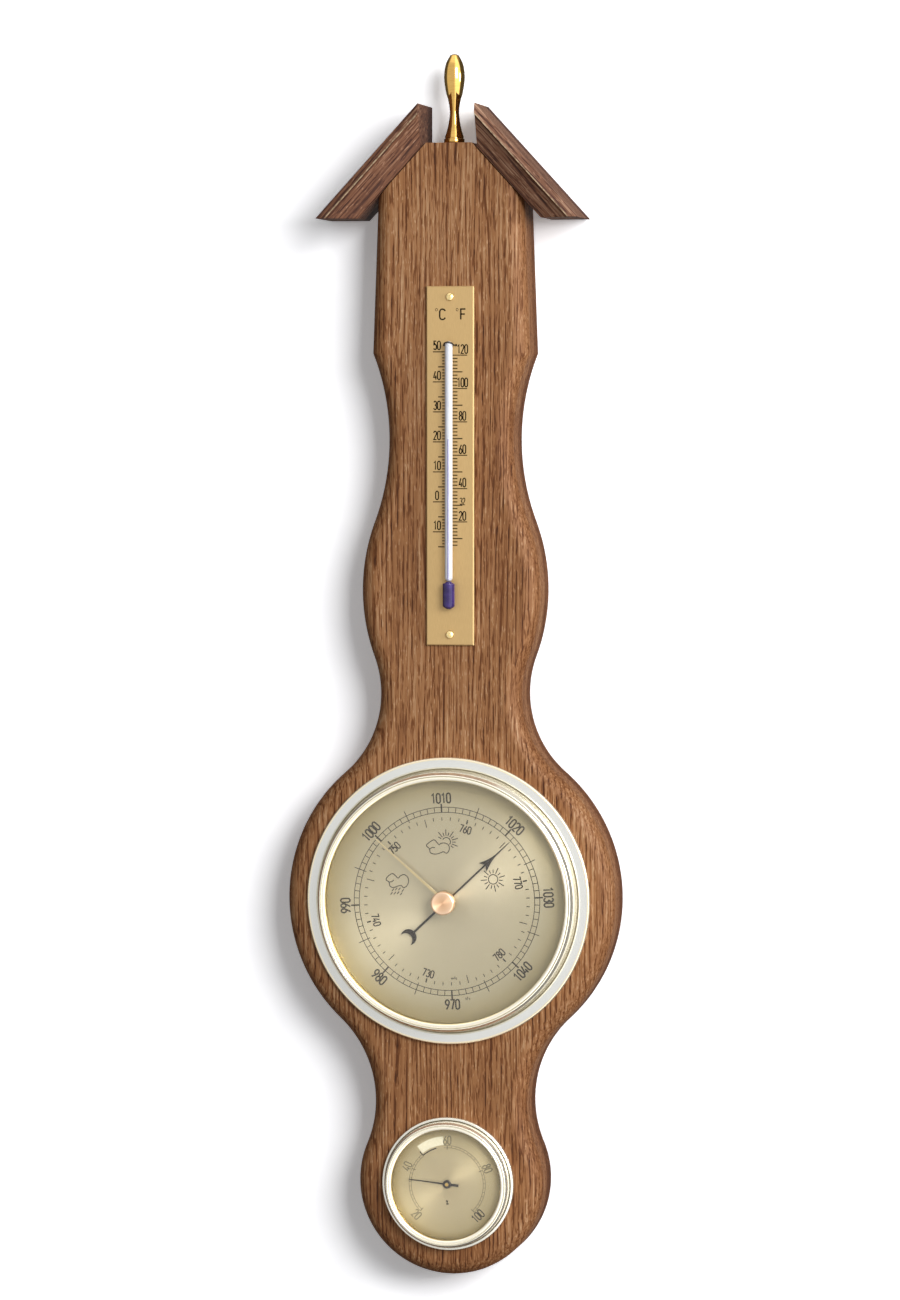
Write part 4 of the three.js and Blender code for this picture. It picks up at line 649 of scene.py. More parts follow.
# Bezels: spun brass, lacquered warm on the rim and silvered on the flange, with a soft gleam. The dark
# groove and the thin dark line at the rim's step are painted shade, and the deeper gold at the inner lip
# is painted shade and painted reflection of the dial.
RIM_CREAM, RIM_SHADE, FLANGE_SILVER, GROOVE_SHADE = "#f8f1de", "#a99b70", "#e0e0dc", "#a0967a"
baro_bezel_metal = spun_bezel(
    "spun_bezel_gold_and_silver",
    BARO_Z,
    [
        (43.4, "#cbb983"), (43.9, RIM_CREAM), (44.8, RIM_CREAM), (45.0, RIM_SHADE),
        (45.2, RIM_CREAM), (47.05, RIM_CREAM), (47.15, GROOVE_SHADE), (47.35, GROOVE_SHADE),
        (47.45, FLANGE_SILVER), (50.3, FLANGE_SILVER), (50.6, "#f4e6c8"),
    ],
    51.4,
)
hygro_bezel_metal = spun_bezel(
    "spun_bezel_gold_and_silver_small",
    HYGRO_Z,
    [
        (19.8, "#a88d50"), (20.2, RIM_CREAM), (21.3, RIM_CREAM), (21.45, RIM_SHADE),
        (21.6, RIM_CREAM), (22.7, RIM_CREAM), (22.8, GROOVE_SHADE), (22.9, GROOVE_SHADE),
        (23.0, FLANGE_SILVER), (23.9, "#efe8d4"),
    ],
    23.9,
)
# Float glass: clear, with a gleam only where it mirrors the screen.
clear_glass = float_glass("clear_float_glass")
# White-backed capillary glass: milk glass behind, clear in front, so it reads as glossy white.
tube_white = mottled(
    "white_backed_capillary_glass", "#eef0f8", "#e4e7f2", 2, (0.06, 0.12),
    Coat_Weight=0.6, Coat_Roughness=0.03,
    Subsurface_Weight=0.7, Subsurface_Radius=(1, 1, 1), Subsurface_Scale=0.002,
)
# Dyed spirit in a glass bulb: navy violet under a clear, glossy wall.
spirit_blue = mottled(
    "dyed_spirit_in_glass", "#46327c", "#33245c", 2.5, (0.04, 0.08),
    Coat_Weight=0.5, Coat_Roughness=0.02, Specular_IOR_Level=0.1,
)
# The thread of dyed spirit, seen pale through the front of the tube.
thread_pale = mottled("dyed_spirit_thread", "#b3aedb", "#a09ad0", 1.5, (0.08, 0.12), Coat_Weight=0.6)
# Screen-printing ink: dull warm black, a little thin at the edges.
print_black = mottled(
    "screen_printed_ink", "#2a2112", "#1e170c", 0.3, (0.6, 0.75), Specular_IOR_Level=0.1
)
# Grey printing ink of the hygrometer's scale: dull, and softer than the black.
print_grey = mottled(
    "screen_printed_grey_ink", "#665d42", "#5b5339", 0.3, (0.6, 0.75), Specular_IOR_Level=0.1
)
# Cream printing ink of the comfort band: dull, and opaque over the gold.
print_cream = mottled("screen_printed_cream_ink", "#bab398", "#afa88c", 0.5, (0.5, 0.6))
# Black-lacquered steel of the pointers: warm black with a soft sheen.
pointer_black = mottled(
    "black_lacquered_steel", "#2a241c", "#1f1a14", 0.4, (0.36, 0.46), Specular_IOR_Level=0.12
)

CAD_FINISHES = {
    plated_steel: "barometer_case hygrometer_case base_plate",
    ground_steel: "main_spring rocking_bar capsule_post pinion_arbor bridge_screw_1 bridge_screw_2"
    " bridge_screw_3 base_screw_1 base_screw_2 hanger_screw_top hanger_screw_bottom",
    movement_brass: "movement_plate movement_bridge sector_gear pillar_1 pillar_2 pillar_3 hairspring"
    " hairspring_collet calibration_screw hygrometer_adjuster knob_washer hygrometer_arbor",
    pressed_brass: "aneroid_capsule hygrometer_bridge hygroscopic_coil",
    plate_brass: "thermometer_plate",
    hanger_steel: "hanger_plate",
    dial_gold: "barometer_dial",
    hygro_gold: "hygrometer_dial",
}
for finish, names in CAD_FINISHES.items():
    for name in names.split():
        nodes[name].material_slots[0].material = finish


# Board


def rise(one, other):
    """How much higher the second circle's centre is when two circles (x, r) touch."""
    return math.sqrt((one[1] + other[1]) ** 2 - (one[0] - other[0]) ** 2)


def side_arcs():
    """The arcs of the board's right side, from the bottom up, as (x, z, r, start, end, hollow)."""
    apart = BARO_Z - HYGRO_Z
    low, high = HYGRO_BULGE + LOWER_WAIST_ROUND, BARO_BULGE + LOWER_WAIST_ROUND
    down = (high**2 - low**2 + apart**2) / (2 * apart)
    circles = [
        (0, HYGRO_Z, HYGRO_BULGE),
        (math.sqrt(high**2 - down**2), BARO_Z - down, LOWER_WAIST_ROUND),
        (0, BARO_Z, BARO_BULGE),
    ]
    for x, r in (
        (MIDDLE_WAIST_HALF + MIDDLE_WAIST_ROUND, MIDDLE_WAIST_ROUND),
        (THERMO_BULGE_HALF - THERMO_BULGE_ROUND, THERMO_BULGE_ROUND),
        (UPPER_WAIST_HALF + UPPER_WAIST_ROUND, UPPER_WAIST_ROUND),
    ):
        px, pz, pr = circles[-1]
        circles.append((x, pz + rise((px, pr), (x, r)), r))

    def bearing(a, b):
        return math.atan2(b[1] - a[1], b[0] - a[0])

    arcs = []
    for i, here in enumerate(circles):
        start = -math.pi / 2 if i == 0 else bearing(here, circles[i - 1])
        if i < len(circles) - 1:
            end = bearing(here, circles[i + 1])
        else:
            end = math.acos((HOUSE_HALF_LOW - here[0]) / here[2])
        arcs.append((*here, start, end, i % 2 == 1))
    return arcs


def board_side(inset):
    """The right side of the board's outline, moved in by a distance, from the bottom up."""
    arcs = side_arcs()
    points = []
    for x, z, r, start, end, hollow in arcs:
        turn = -((start - end) % TAU) if hollow else (end - start) % TAU
        steps = math.ceil(abs(turn) / math.radians(2.2))
        size = r + inset if hollow else r - inset
        for i in range(1, steps + 1):
            angle = start + turn * i / steps
            points.append((x + size * math.cos(angle), z + size * math.sin(angle)))
    # the corner below the house, where the inset sides meet, and the side above it
    x, z, r, _, end, _ = arcs[-1]
    foot = Vector((HOUSE_HALF_LOW, z + r * math.sin(end)))
    high = Vector((HOUSE_HALF_HIGH, roof_underside(HOUSE_HALF_HIGH)))
    side = (high - foot).normalized()
    above = foot + side * ((BOARD_TOP_Z + 12 - foot.y) / side.y)
    out_house = Vector((side.y, -side.x))
    out_waist = Vector((-math.cos(end), -math.sin(end)))
    corner = (out_house + out_waist).normalized()
    reach = inset / corner.dot(out_house)
    meet = foot - corner * reach
    kept = [p for p in points[:-1] if p[1] < meet.y - 0.4]
    spare = len(points) - 1 - len(kept)
    # as many points at every inset, so that the rings join
    last = Vector(kept[-1])
    kept += [tuple(last.lerp(meet, (i + 1) / (spare + 1))) for i in range(spare)]
    return kept + [tuple(meet), tuple(above - out_house * inset)]


def board_shape():
    """The outline from back to front, its front edge rounded over."""
    sections = [(BOARD_BACK_CHAMFER, 0), (0, -BOARD_BACK_CHAMFER)]
    steps = 12
    for i in range(steps + 1):
        angle = math.pi / 2 * i / steps
        inset = BOARD_EDGE_ROUND * (1 - math.cos(angle))
        sections.append((inset, BOARD_EDGE_ROUND * (1 - math.sin(angle)) - BOARD_THICK))
    rings = []
    for inset, y in sections:
        outline = [(0, HYGRO_Z - HYGRO_BULGE + inset), *both_sides(board_side(inset))]
        rings.append([(x, y, z) for x, z in outline])
    return skin(rings)


def bar(radius, y0, y1, x=0, z=0, sides=32):
    outline = [(0, y0), (radius, y0), (radius, y1), (0, y1)]
    return moved(turned(outline, sides), x, 0, z)


def rounded_slot(width, length, front, back, z=0):
    """A block whose outline has two round ends, standing along Z."""
    half, reach = width / 2, (length - width) / 2
    outline = arc(0, reach, half, half, 0, 180, 16) + arc(0, -reach, half, half, 180, 360, 16)
    return moved(flat(outline, front, back), 0, 0, z)


def pair_of(shape, x, z, across, up):
    """Two of a shape, on either side of a place."""
    return [moved(shape, x + s * across, 0, z + s * up) for s in (1, -1)]


far = 80
far_z = BOARD_TOP_Z - (far - BOARD_TOP_HALF) * math.tan(ROOF_PITCH)
over_roof_line = both_sides([(BOARD_TOP_HALF, BOARD_TOP_Z), (far, far_z), (far, BOARD_TOP_Z + 40)])
finial_hole = upright(bar(FINIAL_HOLE_R, -BOARD_TOP_Z - 1, -BOARD_TOP_Z + 10, sides=24))
board = piece("oak_board", board_shape(), oak_upright, "board", sharp=30)
carve(
    board,
    flat(over_roof_line, -BOARD_THICK - 2, 2),
    bar(BARO_BORE_R, -BOARD_THICK - 2, 2, 0, BARO_Z, 128),
    bar(HYGRO_BORE_R, -BOARD_THICK - 2, 2, 0, HYGRO_Z, 96),
    moved(finial_hole, 0, FINIAL_Y, 0),
    rounded_slot(*HANGER_RECESS, 1, HANGER_Z),
    rounded_slot(*HEAD_POCKET, -1.2, HANGER_Z),
    *pair_of(bar(PLATE_SCREW_HOLE_R, FACE_Y - 1, -12, sides=16), THERMO_X, THERMO_Z, 0, PLATE_SCREW_Z),
    *pair_of(bar(CLIP_HOLE_R, FACE_Y - 1, FACE_Y + 4, sides=12), THERMO_X, CLIP_Z, CLIP_HALF, 0),
    *pair_of(bar(HANGER_SCREW_HOLE_R, -14, -1.2, sides=16), 0, HANGER_Z, 0, HANGER_SCREW_Z),
    sharp=30,
)


# Roof strips


def bent(start, pull, end, steps=4):
    """Points from start to end along a curve that leaves and arrives in line with pull."""
    out = []
    for i in range(steps + 1):
        t = i / steps
        shares = ((1 - t) ** 2, 2 * t * (1 - t), t * t)
        out.append(tuple(sum(s * p[k] for s, p in zip(shares, (start, pull, end))) for k in (0, 1)))
    return out


def roof_strip(side):
    """The moulding up one slope, from a leaning face over a cove to a fillet. It is cut level at
    the eave and plumb at the ridge."""
    foot, slope = ROOF_FOOT_DEPTH, ROOF_SLOPE_DEPTH
    cove = ((slope, ROOF_ARRIS - ROOF_COVE), (slope + ROOF_COVE / 2, ROOF_ARRIS), (ROOF_DEPTH, ROOF_ARRIS))
    profile = [
        (0, 0),
        *bent((foot - ROOF_EDGE_ROUND, 0), (foot, 0), (foot, ROOF_EDGE_ROUND)),
        *bent(*cove),
        (ROOF_DEPTH - ROOF_FILLET_LEAN, ROOF_THICK),
        (0, ROOF_THICK),
    ]
    sin, cos = math.sin(ROOF_PITCH), math.cos(ROOF_PITCH)
    base = roof_underside(ROOF_EAVE_HALF)
    eave_z = base + ROOF_THICK / cos
    eave, ridge = [], []
    for forward, outward in profile:
        x, z = ROOF_EAVE_HALF + outward * sin, base + outward * cos
        for end, run in ((eave, (eave_z - z) / sin), (ridge, (x - ROOF_RIDGE_HALF) / cos)):
            end.append((side * (x - run * cos), -forward, z + run * sin))
    return skin([eave, ridge])


for side, name, oak in ((1, "right", oak_right), (-1, "left", oak_left)):
    strip = roof_strip(side)
    piece(f"roof_moulding_{name}", strip, oak, f"roof_strip_{name}", sharp=30, edge=0.22)

# Finial

swell = [
    (3.48, 2.3), (2.3, 6.34), (1.66, 11.3), (2.25, 15.6), (3.0, 18.2), (3.72, 23.6), (3.1, 28.4),
    (1.5, 31.6),
]
stud = [(0, -9), (1.4, -8, 0.3), (1.4, SEAT)]
collar = [(3.7, SEAT, 0.2), (3.7, 1.8, 0.25), (3.3, 1.95), (3.3, 2.2)]
outline = eased([*stud, *collar, *through(swell, 8), (0.7, 31.93), (0, 32)], 3, closed=False)
finial = moved(upright(turned([(r, -h) for r, h in outline], 64)), 0, FINIAL_Y, BOARD_TOP_Z)
piece("finial_turning", finial, finial_brass, "finial", sharp=40)

# Thermometer


def quarter(steps):
    """The sines and cosines of a quarter turn."""
    angles = [TAU / 4 * i / steps for i in range(steps + 1)]
    return [(math.sin(a), math.cos(a)) for a in angles]


def rod(radius, low, high, sides=40, steps=8):
    """A round-ended rod along Z."""
    ends = quarter(steps)
    outline = [(radius * s, radius - high - radius * c) for s, c in ends]
    outline += [(radius * s, radius * c - low - radius) for s, c in reversed(ends)]
    return upright(turned(outline, sides))


def on_tube(shape, y=TUBE_Y):
    return moved(shape, THERMO_X, y, 0)


piece("capillary_tube", on_tube(rod(TUBE_R, *TUBE_ENDS)), tube_white, "thermometer_tube")
bulb_low, bulb_high = BULB_ENDS
bulb_outline = [
    (0, -bulb_high - 0.28),
    (1.1, -bulb_high - 0.28, 0.1),
    (1.2, -bulb_high + 0.05, 0.2),
    (BULB_R, -bulb_high + 0.45, 0.6),
    (BULB_R, -bulb_low - 0.9, 1.2),
    (0.7, -bulb_low, 1.0),
    (0, -bulb_low),
]
bulb = on_tube(upright(turned(eased(bulb_outline, 6, closed=False), 48)))
piece("spirit_bulb", bulb, spirit_blue, "thermometer_bulb")
thread = rod(0.26, TUBE_ENDS[0] + 0.6, CELSIUS_ZERO_Z + ROOM_CELSIUS * CELSIUS_STEP, 16, 4)
piece("spirit_thread", on_tube(thread, TUBE_Y - TUBE_R + 0.12), thread_pale)


def wire(path, radius, sides=12):
    """A round wire along a line of points."""
    turns = [TAU * k / sides for k in range(sides)]
    rings = []
    for i, here in enumerate(path):
        along = (Vector(path[min(i + 1, len(path) - 1)]) - Vector(path[max(i - 1, 0)])).normalized()
        one = along.cross(Vector((0, 0, 1))).normalized()
        other = along.cross(one)
        outward = [one * math.cos(turn) + other * math.sin(turn) for turn in turns]
        rings.append([tuple(Vector(here) + radius * out) for out in outward])
    return skin(rings)


# the wire leans up from its legs, so that it crosses the tube's round end
half_turn = arc(0, 0, CLIP_HUG, CLIP_HUG, 0, 180, 24)
clip_bend = [(x, TUBE_Y - h, h / CLIP_HUG * CLIP_LEAN) for x, h in half_turn]
right_leg = [(CLIP_HALF, y, 0) for y in (FACE_Y + 3, PLATE_FACE_Y)]
right_leg.append((CLIP_HUG + 0.08, PLATE_FACE_Y - 0.9, 0))
left_leg = [(-x, y, z) for x, y, z in reversed(right_leg)]
clip = moved(wire([*right_leg, *clip_bend, *left_leg], CLIP_WIRE_R), THERMO_X, 0, CLIP_Z)
piece("tube_clip", clip, black_wire, "thermometer_clip")


def slotted_head(radius, height, shank, length):
    """A raised-head screw, its seat at y = 0."""
    dome = [(radius * s, -height * (0.25 + 0.75 * c)) for s, c in quarter(8)]
    return turned([*dome, (radius, 0), (shank, 0), (shank, length - shank), (0, length)], 40)


for name, side, turn in (("top", 1, math.radians(36)), ("bottom", -1, math.radians(-34))):
    place = (THERMO_X, PLATE_SCREW_SEAT_Y, THERMO_Z + side * PLATE_SCREW_Z)
    head = moved(slotted_head(1.4, 0.95, 0.9, 9), *place)
    screw = piece(
        f"plate_screw_head_{name}", head, screw_brass, f"plate_screw_{name}"
    )
    slot = flat([(-0.22, -2), (0.22, -2), (0.22, 2), (-0.22, 2)], -2, -0.55)
    carve(screw, moved(slot, *place, turn))

# Instrument rims, glasses and spacers


def ring_piece(name, outline, z, sides, finish, replaces):
    piece(name, moved(turned(outline, sides), 0, FACE_Y, z), finish, replaces)


def bezel_outline(opening, inner, outer, step, flange, lip_back, crown):
    """A rolled flange, a groove, and a raised rim that leans in over the glass in two bands with
    a thin step between them."""
    band = opening + (outer - opening) * 0.42  # where the inner band ends
    ease = min(0.45, (flange - step) * 0.2)
    gap = step - outer
    corners = [
        (inner, -0.3),
        (flange, -0.3, 0.3),
        (flange, -2.15 + ease, ease),
        (flange - ease, -2.2, ease),
        (step + ease, -2.4, ease),
        (step, -2.1, 0.2),
        (step - gap * 0.1, -1.6, 0.1),
        (outer + gap * 0.7, -1.6, 0.1),
        (outer + gap * 0.3, -3.4, 0.8),
        (outer - 0.1, crown * 0.82, 1.3),
        (band + 0.75, crown, 0.5),
        (band + 0.2, crown + 0.08, 0.08),
        (band + 0.05, crown + 0.38, 0.08),
        (band - 0.3, crown + 0.2, 0.2),
        (opening + 0.5, crown + 0.28, 0.35),
        (opening, lip_back - 0.15, 0.08),
        (opening, lip_back),
        (inner, lip_back),
    ]
    return eased(corners, 4)


baro_rim = bezel_outline(43.4, 45.6, 46.4, 47.5, 51.4, -8.1, -8.9)
hygro_rim = bezel_outline(19.8, 21.7, 22.5, 22.9, 23.9, -5.7, -6.5)
ring_piece("barometer_rim", baro_rim, BARO_Z, 192, baro_bezel_metal, "barometer_bezel")
ring_piece("hygrometer_rim", hygro_rim, HYGRO_Z, 128, hygro_bezel_metal, "hygrometer_bezel")
for name, (hole, radius, front, back), z, sides in (
    ("barometer", BARO_GLASS, BARO_Z, 160),
    ("hygrometer", HYGRO_GLASS, HYGRO_Z, 96),
):
    outline = [(hole, back), (radius, back, 0.15), (radius, front, 0.15), (hole, front)]
    outline = eased(outline, 2, closed=hole > 0)
    ring_piece(f"{name}_pane", outline, z, sides, clear_glass, f"{name}_glass")
for name, (hole, radius, front, back), z, sides in (
    ("barometer", BARO_SPACER, BARO_Z, 160),
    ("hygrometer", HYGRO_SPACER, HYGRO_Z, 96),
):
    outline = eased([(hole, back), (radius, back), (radius, front), (hole, front, 0.25)], 3)
    ring_piece(f"{name}_inner_ring", outline, z, sides, spacer_gold, f"{name}_spacer")

# Hands


def hand(name, shape, hub, turn, z, finish, body, replaces, edge):
    """A stamped hand and its turned hub, drawn pointing up and then turned to its reading."""
    piece(name, moved(shape, 0, FACE_Y, z, turn), finish, replaces, body, edge=edge)
    piece(f"{name}_hub", moved(turned(hub, 48), 0, FACE_Y, z), finish, body=body)


def crescent(z, radius, bite_radius, drop, front, back):
    """A moon that opens downward: a disc with a smaller one, lower by drop, bitten out of it."""
    horn = math.acos((radius**2 + drop**2 - bite_radius**2) / (2 * radius * drop))
    horn = math.degrees(horn)
    outer = arc(0, z, radius, radius, -90 + horn, 270 - horn, 36)
    bite = Vector(outer[0]) - Vector((0, z - drop))
    start = math.degrees(math.atan2(bite.y, bite.x))
    inner = arc(0, z - drop, bite_radius, bite_radius, 180 - start, start, 30)
    return flat(outer + inner[1:-1], front, back)


barb = [(0.3, 19.3), (2.1, 18.1), (1.35, 19.9), (0.78, 21.6), (0.42, 23.2), (0.24, 24.9)]
arrow = both_sides([(0.42, -16.4), (0.34, 4), *barb, (0.1, 31.4)])
hand(
    "pressure_pointer",
    joined(flat(arrow, -3.9, -3.6), crescent(-18.9, 2.9, 2.5, 1.5, -3.9, -3.6)),
    [(0.8, -3.3), (2.2, -3.3), (2.2, -4.3), (2.0, -4.5), (0.8, -4.5)],
    POINTER_ANGLE, BARO_Z, pointer_black, "pointer_train", "pointer", 0.05,
)
hand(
    "set_pointer",
    flat(both_sides([(0.55, 0), (0.42, 12), (0.18, 33.6)]), -5.6, -5.3),
    [(0.9, -5.1), (1.9, -5.1), (1.9, -5.5), (1.8, -5.6), (0.9, -5.6)],
    SET_HAND_ANGLE, BARO_Z, hand_brass, "set_hand", "set_hand", 0.05,
)
knob = [
    (0, -5.1), (0.8, -5.1, 0.1), (0.8, -8.7), (3.6, -8.7, 0.2), (4.2, -9.2, 0.3),
    (4.2, -11.6, 0.5), (3.7, -12.1, 0.4), (0, -11.6),
]
knob = moved(turned(eased(knob, 4, closed=False), 96), 0, FACE_Y, BARO_Z)
piece("set_knob_turning", knob, knob_copper, "set_knob", "set_hand")
hand(
    "humidity_pointer",
    flat(both_sides([(0.5, -4.2), (0.42, -1.2), (0.28, 1.2), (0.12, 14)]), -2.9, -2.6),
    [(0.7, -2.6), (1.5, -2.6), (1.5, -3.25), (1.35, -3.4), (0.7, -3.4)],
    HYGRO_POINTER_ANGLE, HYGRO_Z, pointer_black, "hygrometer_hand",
    "hygrometer_pointer", 0.04,
)

# Print

# Numerals of an engraver's narrow alphabet, as lines in a cell 0.5 wide and 1 high.
GLYPHS = {
    "0": [arc(0.25, 0.75, 0.25, 0.25, 0, 180) + arc(0.25, 0.25, 0.25, 0.25, 180, 360) + [(0.5, 0.75)]],
    "1": [[(0.06, 0.78), (0.3, 1), (0.3, 0)]],
    "2": [arc(0.25, 0.75, 0.24, 0.25, 170, -35) + [(0, 0), (0.5, 0)]],
    "3": [arc(0.25, 0.77, 0.22, 0.23, 160, -90) + arc(0.25, 0.27, 0.25, 0.27, 90, -160)],
    "4": [[(0.3, 1), (0, 0.26), (0.5, 0.26)], [(0.38, 0.5), (0.38, 0)]],
    "5": [[(0.46, 1), (0.06, 1), (0.04, 0.56)] + arc(0.24, 0.31, 0.26, 0.31, 120, -150)],
    "6": [[(0.4, 1), (0.14, 0.62), (0.03, 0.4)] + arc(0.25, 0.27, 0.25, 0.27, 160, 520, 20)],
    "7": [[(0, 1), (0.5, 1), (0.18, 0)]],
    "8": [arc(0.25, 0.77, 0.2, 0.23, -90, 270, 18), arc(0.25, 0.27, 0.25, 0.27, 90, 450, 20)],
    "9": [[(0.1, 0), (0.36, 0.38), (0.47, 0.6)] + arc(0.25, 0.73, 0.25, 0.27, -20, 340, 20)],
    "C": [arc(0.27, 0.74, 0.26, 0.26, 15, 180) + arc(0.27, 0.26, 0.26, 0.26, 180, 345)],
    "F": [[(0.04, 0), (0.04, 1), (0.48, 1)], [(0.04, 0.52), (0.42, 0.52)]],
    "h": [[(0.04, 0), (0.04, 1)], [(0.04, 0.4)] + arc(0.24, 0.42, 0.2, 0.2, 160, 0) + [(0.44, 0)]],
    "P": [[(0.04, 0), (0.04, 1), (0.22, 1)] + arc(0.22, 0.76, 0.22, 0.24, 90, -90) + [(0.04, 0.52)]],
    "a": [arc(0.24, 0.24, 0.2, 0.24, 20, 340, 14), [(0.44, 0.5), (0.44, 0)]],
    "m": [
        [(0.0, 0), (0.0, 0.5)],
        arc(0.12, 0.36, 0.12, 0.14, 180, 0) + [(0.24, 0)],
        arc(0.36, 0.36, 0.12, 0.14, 180, 0) + [(0.48, 0)],
    ],
    "H": [[(0.04, 0), (0.04, 1)], [(0.46, 0), (0.46, 1)], [(0.04, 0.52), (0.46, 0.52)]],
    "g": [
        arc(0.24, 0.26, 0.2, 0.24, 20, 340, 14),
        [(0.44, 0.5), (0.44, -0.1)] + arc(0.24, -0.1, 0.2, 0.16, 0, -150),
    ],
    "%": [
        arc(0.12, 0.82, 0.12, 0.17, 0, 360, 14),
        arc(0.42, 0.18, 0.12, 0.17, 0, 360, 14),
        [(0.48, 1), (0.06, 0)],
    ],
    "o": [arc(0.12, 0.86, 0.12, 0.12, 0, 360, 12)],
}


def line_of(path, width, front, closed=False):
    """A printed line."""
    return ribbon(path, width, front, front + INK, closed)


def lettering(words, height, width, weight, x, z, turn, front):
    """Words centred on (x, z), their top turned clockwise from upright. width is a letter's
    share of its height, and weight the line's width in millimetres."""
    pitch = height * width * 1.36
    start = -(len(words) - 1) / 2 * pitch - height * width / 2
    c, s = math.cos(turn), math.sin(turn)
    strokes = []
    for i, letter in enumerate(words):
        for line in GLYPHS[letter]:
            path = []
            for u, v in line:
                across = start + i * pitch + u * 2 * height * width
                up = (v - 0.5) * height
                path.append((x + across * c + up * s, z + up * c - across * s))
            strokes.append(line_of(path, weight, front))
    return joined(*strokes)


def around(angle, radius, z):
    return radius * math.sin(angle), z + radius * math.cos(angle)


def tick(angle, inner, outer, width, dial):
    """A short bar along a radius, at an angle clockwise from the top."""
    z, front = dial
    return line_of([around(angle, r, z) for r in (inner, outer)], width, front)


def numeral(words, angle, radius, height, width, weight, dial):
    """A number on a dial: its top points outward in the upper half and inward in the lower."""
    x, z = around(angle, radius, dial[0])
    outward = abs(angle - DIAL_TURN) <= math.pi / 2 + 0.01
    turn = angle if outward else angle + math.pi
    return lettering(words, height, width, weight, x, z, turn, dial[1])


def dial_scale(first, pitch, count, tens, fives, ones):
    """Ticks all round the barometer: (inner, outer, width) of each tenth, fifth and other one."""
    out = []
    for step in range(count):
        size = ones if step % 5 else fives if step % 10 else tens
        out.append(tick(first + math.radians(pitch * step), *size, BARO_PRINT))
    return out


def symbol(paths, angle, radius):
    """A line drawing: (points, closed) pairs about a place on the barometer's dial."""
    x, z = around(math.radians(angle), radius, BARO_Z)
    front = BARO_PRINT[1]
    return joined(*[line_of([(x + a, z + b) for a, b in path], 0.32, front, shut) for path, shut in paths])


def rays(x, z, inner, angles):
    """Long and short sun rays."""
    out = []
    for i, angle in enumerate(angles):
        reach = inner + (2.3 if i % 2 else 1.3)
        ends = [around(math.radians(angle), r, z) for r in (inner, reach)]
        out.append(([(x + a, b) for a, b in ends], False))
    return out


RAIN_CLOUD = [
    (-4.1, 1.6), (-3.3, 2.9), (-1.8, 3.8), (-0.6, 3.0), (0.3, 2.2), (1.2, 3.1), (2.6, 3.5),
    (3.8, 2.5), (4.1, 1.0), (3.5, -0.5), (2.3, -1.2), (1.5, -0.5), (0.3, -0.6), (-1.5, -1.2),
    (-2.7, -0.6), (-3.0, 0.7),
]
FAIR_CLOUD = [
    (-4.9, 0.0), (-4.0, 1.1), (-2.2, 2.1), (-1.1, 1.2), (-0.3, 0.4), (0.4, 0.9), (1.8, 1.0),
    (3.1, 0.3), (3.4, -1.2), (2.5, -2.6), (1.2, -2.1), (0.0, -2.6), (-1.8, -3.0), (-3.5, -2.5),
    (-3.8, -1.2),
]
DROPS = [
    (-1.6, -2.0), (-0.4, -1.7), (0.8, -1.6), (2.0, -2.2), (-2.1, -3.3), (-0.9, -3.2), (0.3, -3.0),
    (1.4, -3.4),
]
MMHG_TURN = math.radians(14.6)  # where 760 is
z, front = BARO_PRINT
marks = [line_of(arc(0, z, r, r, 0, 360, 180)[:-1], 0.24, front, closed=True) for r in (31.85, 33.7)]
marks += dial_scale(DIAL_TURN, 4.5, 80, (31.85, 34.9, 0.54), (31.0, 35.5, 0.28), (31.85, 33.7, 0.24))
for index, value in enumerate(range(970, 1050, 10)):
    angle = DIAL_TURN + math.radians(-180 + 45 * index)
    marks.append(numeral(str(value), angle, 36.9, 3.4, 0.4, 0.54, BARO_PRINT))
marks += dial_scale(MMHG_TURN, 6, 60, (28.6, 30.1, 0.5), (27.2, 30.1, 0.28), (28.9, 30.1, 0.28))
for value in range(730, 790, 10):
    angle = MMHG_TURN + math.radians(6 * (value - 760))
    marks.append(numeral(str(value), angle, 26.7, 2.6, 0.42, 0.42, BARO_PRINT))
marks.append(numeral("mmHg", math.radians(174.5), 27.4, 1.0, 0.4, 0.12, BARO_PRINT))
marks.append(numeral("hPa", math.radians(167.5), 35.4, 1.1, 0.4, 0.13, BARO_PRINT))
rain_fold = ([(-3.0, 0.7), (-2.0, 0.9), (-1.3, 1.5)], False)
fair_fold = ([(-3.8, -1.2), (-2.8, -0.6), (-1.8, -0.7)], False)
drops = [([(x + 0.35, z + 0.45), (x - 0.35, z - 0.45)], False) for x, z in DROPS]
half_sun = (arc(2.3, 1.5, 1.5, 1.5, 150, -40, 14), False)
half_sun_rays = rays(2.3, 1.5, 2.1, range(-60, 131, 19))
sun = (arc(0, 0, 1.7, 1.7, 0, 360, 32)[:-1], True)
marks += [
    symbol([(through(RAIN_CLOUD, 4, True), True), rain_fold, *drops], -72, 18.9),
    symbol([(through(FAIR_CLOUD, 4, True), True), fair_fold, half_sun, *half_sun_rays], -7, 20),
    symbol([sun, *rays(0, 0, 2.2, range(0, 360, 24))], 64, 18.7),
]
piece("barometer_scale", joined(*marks), print_black, sharp=60)

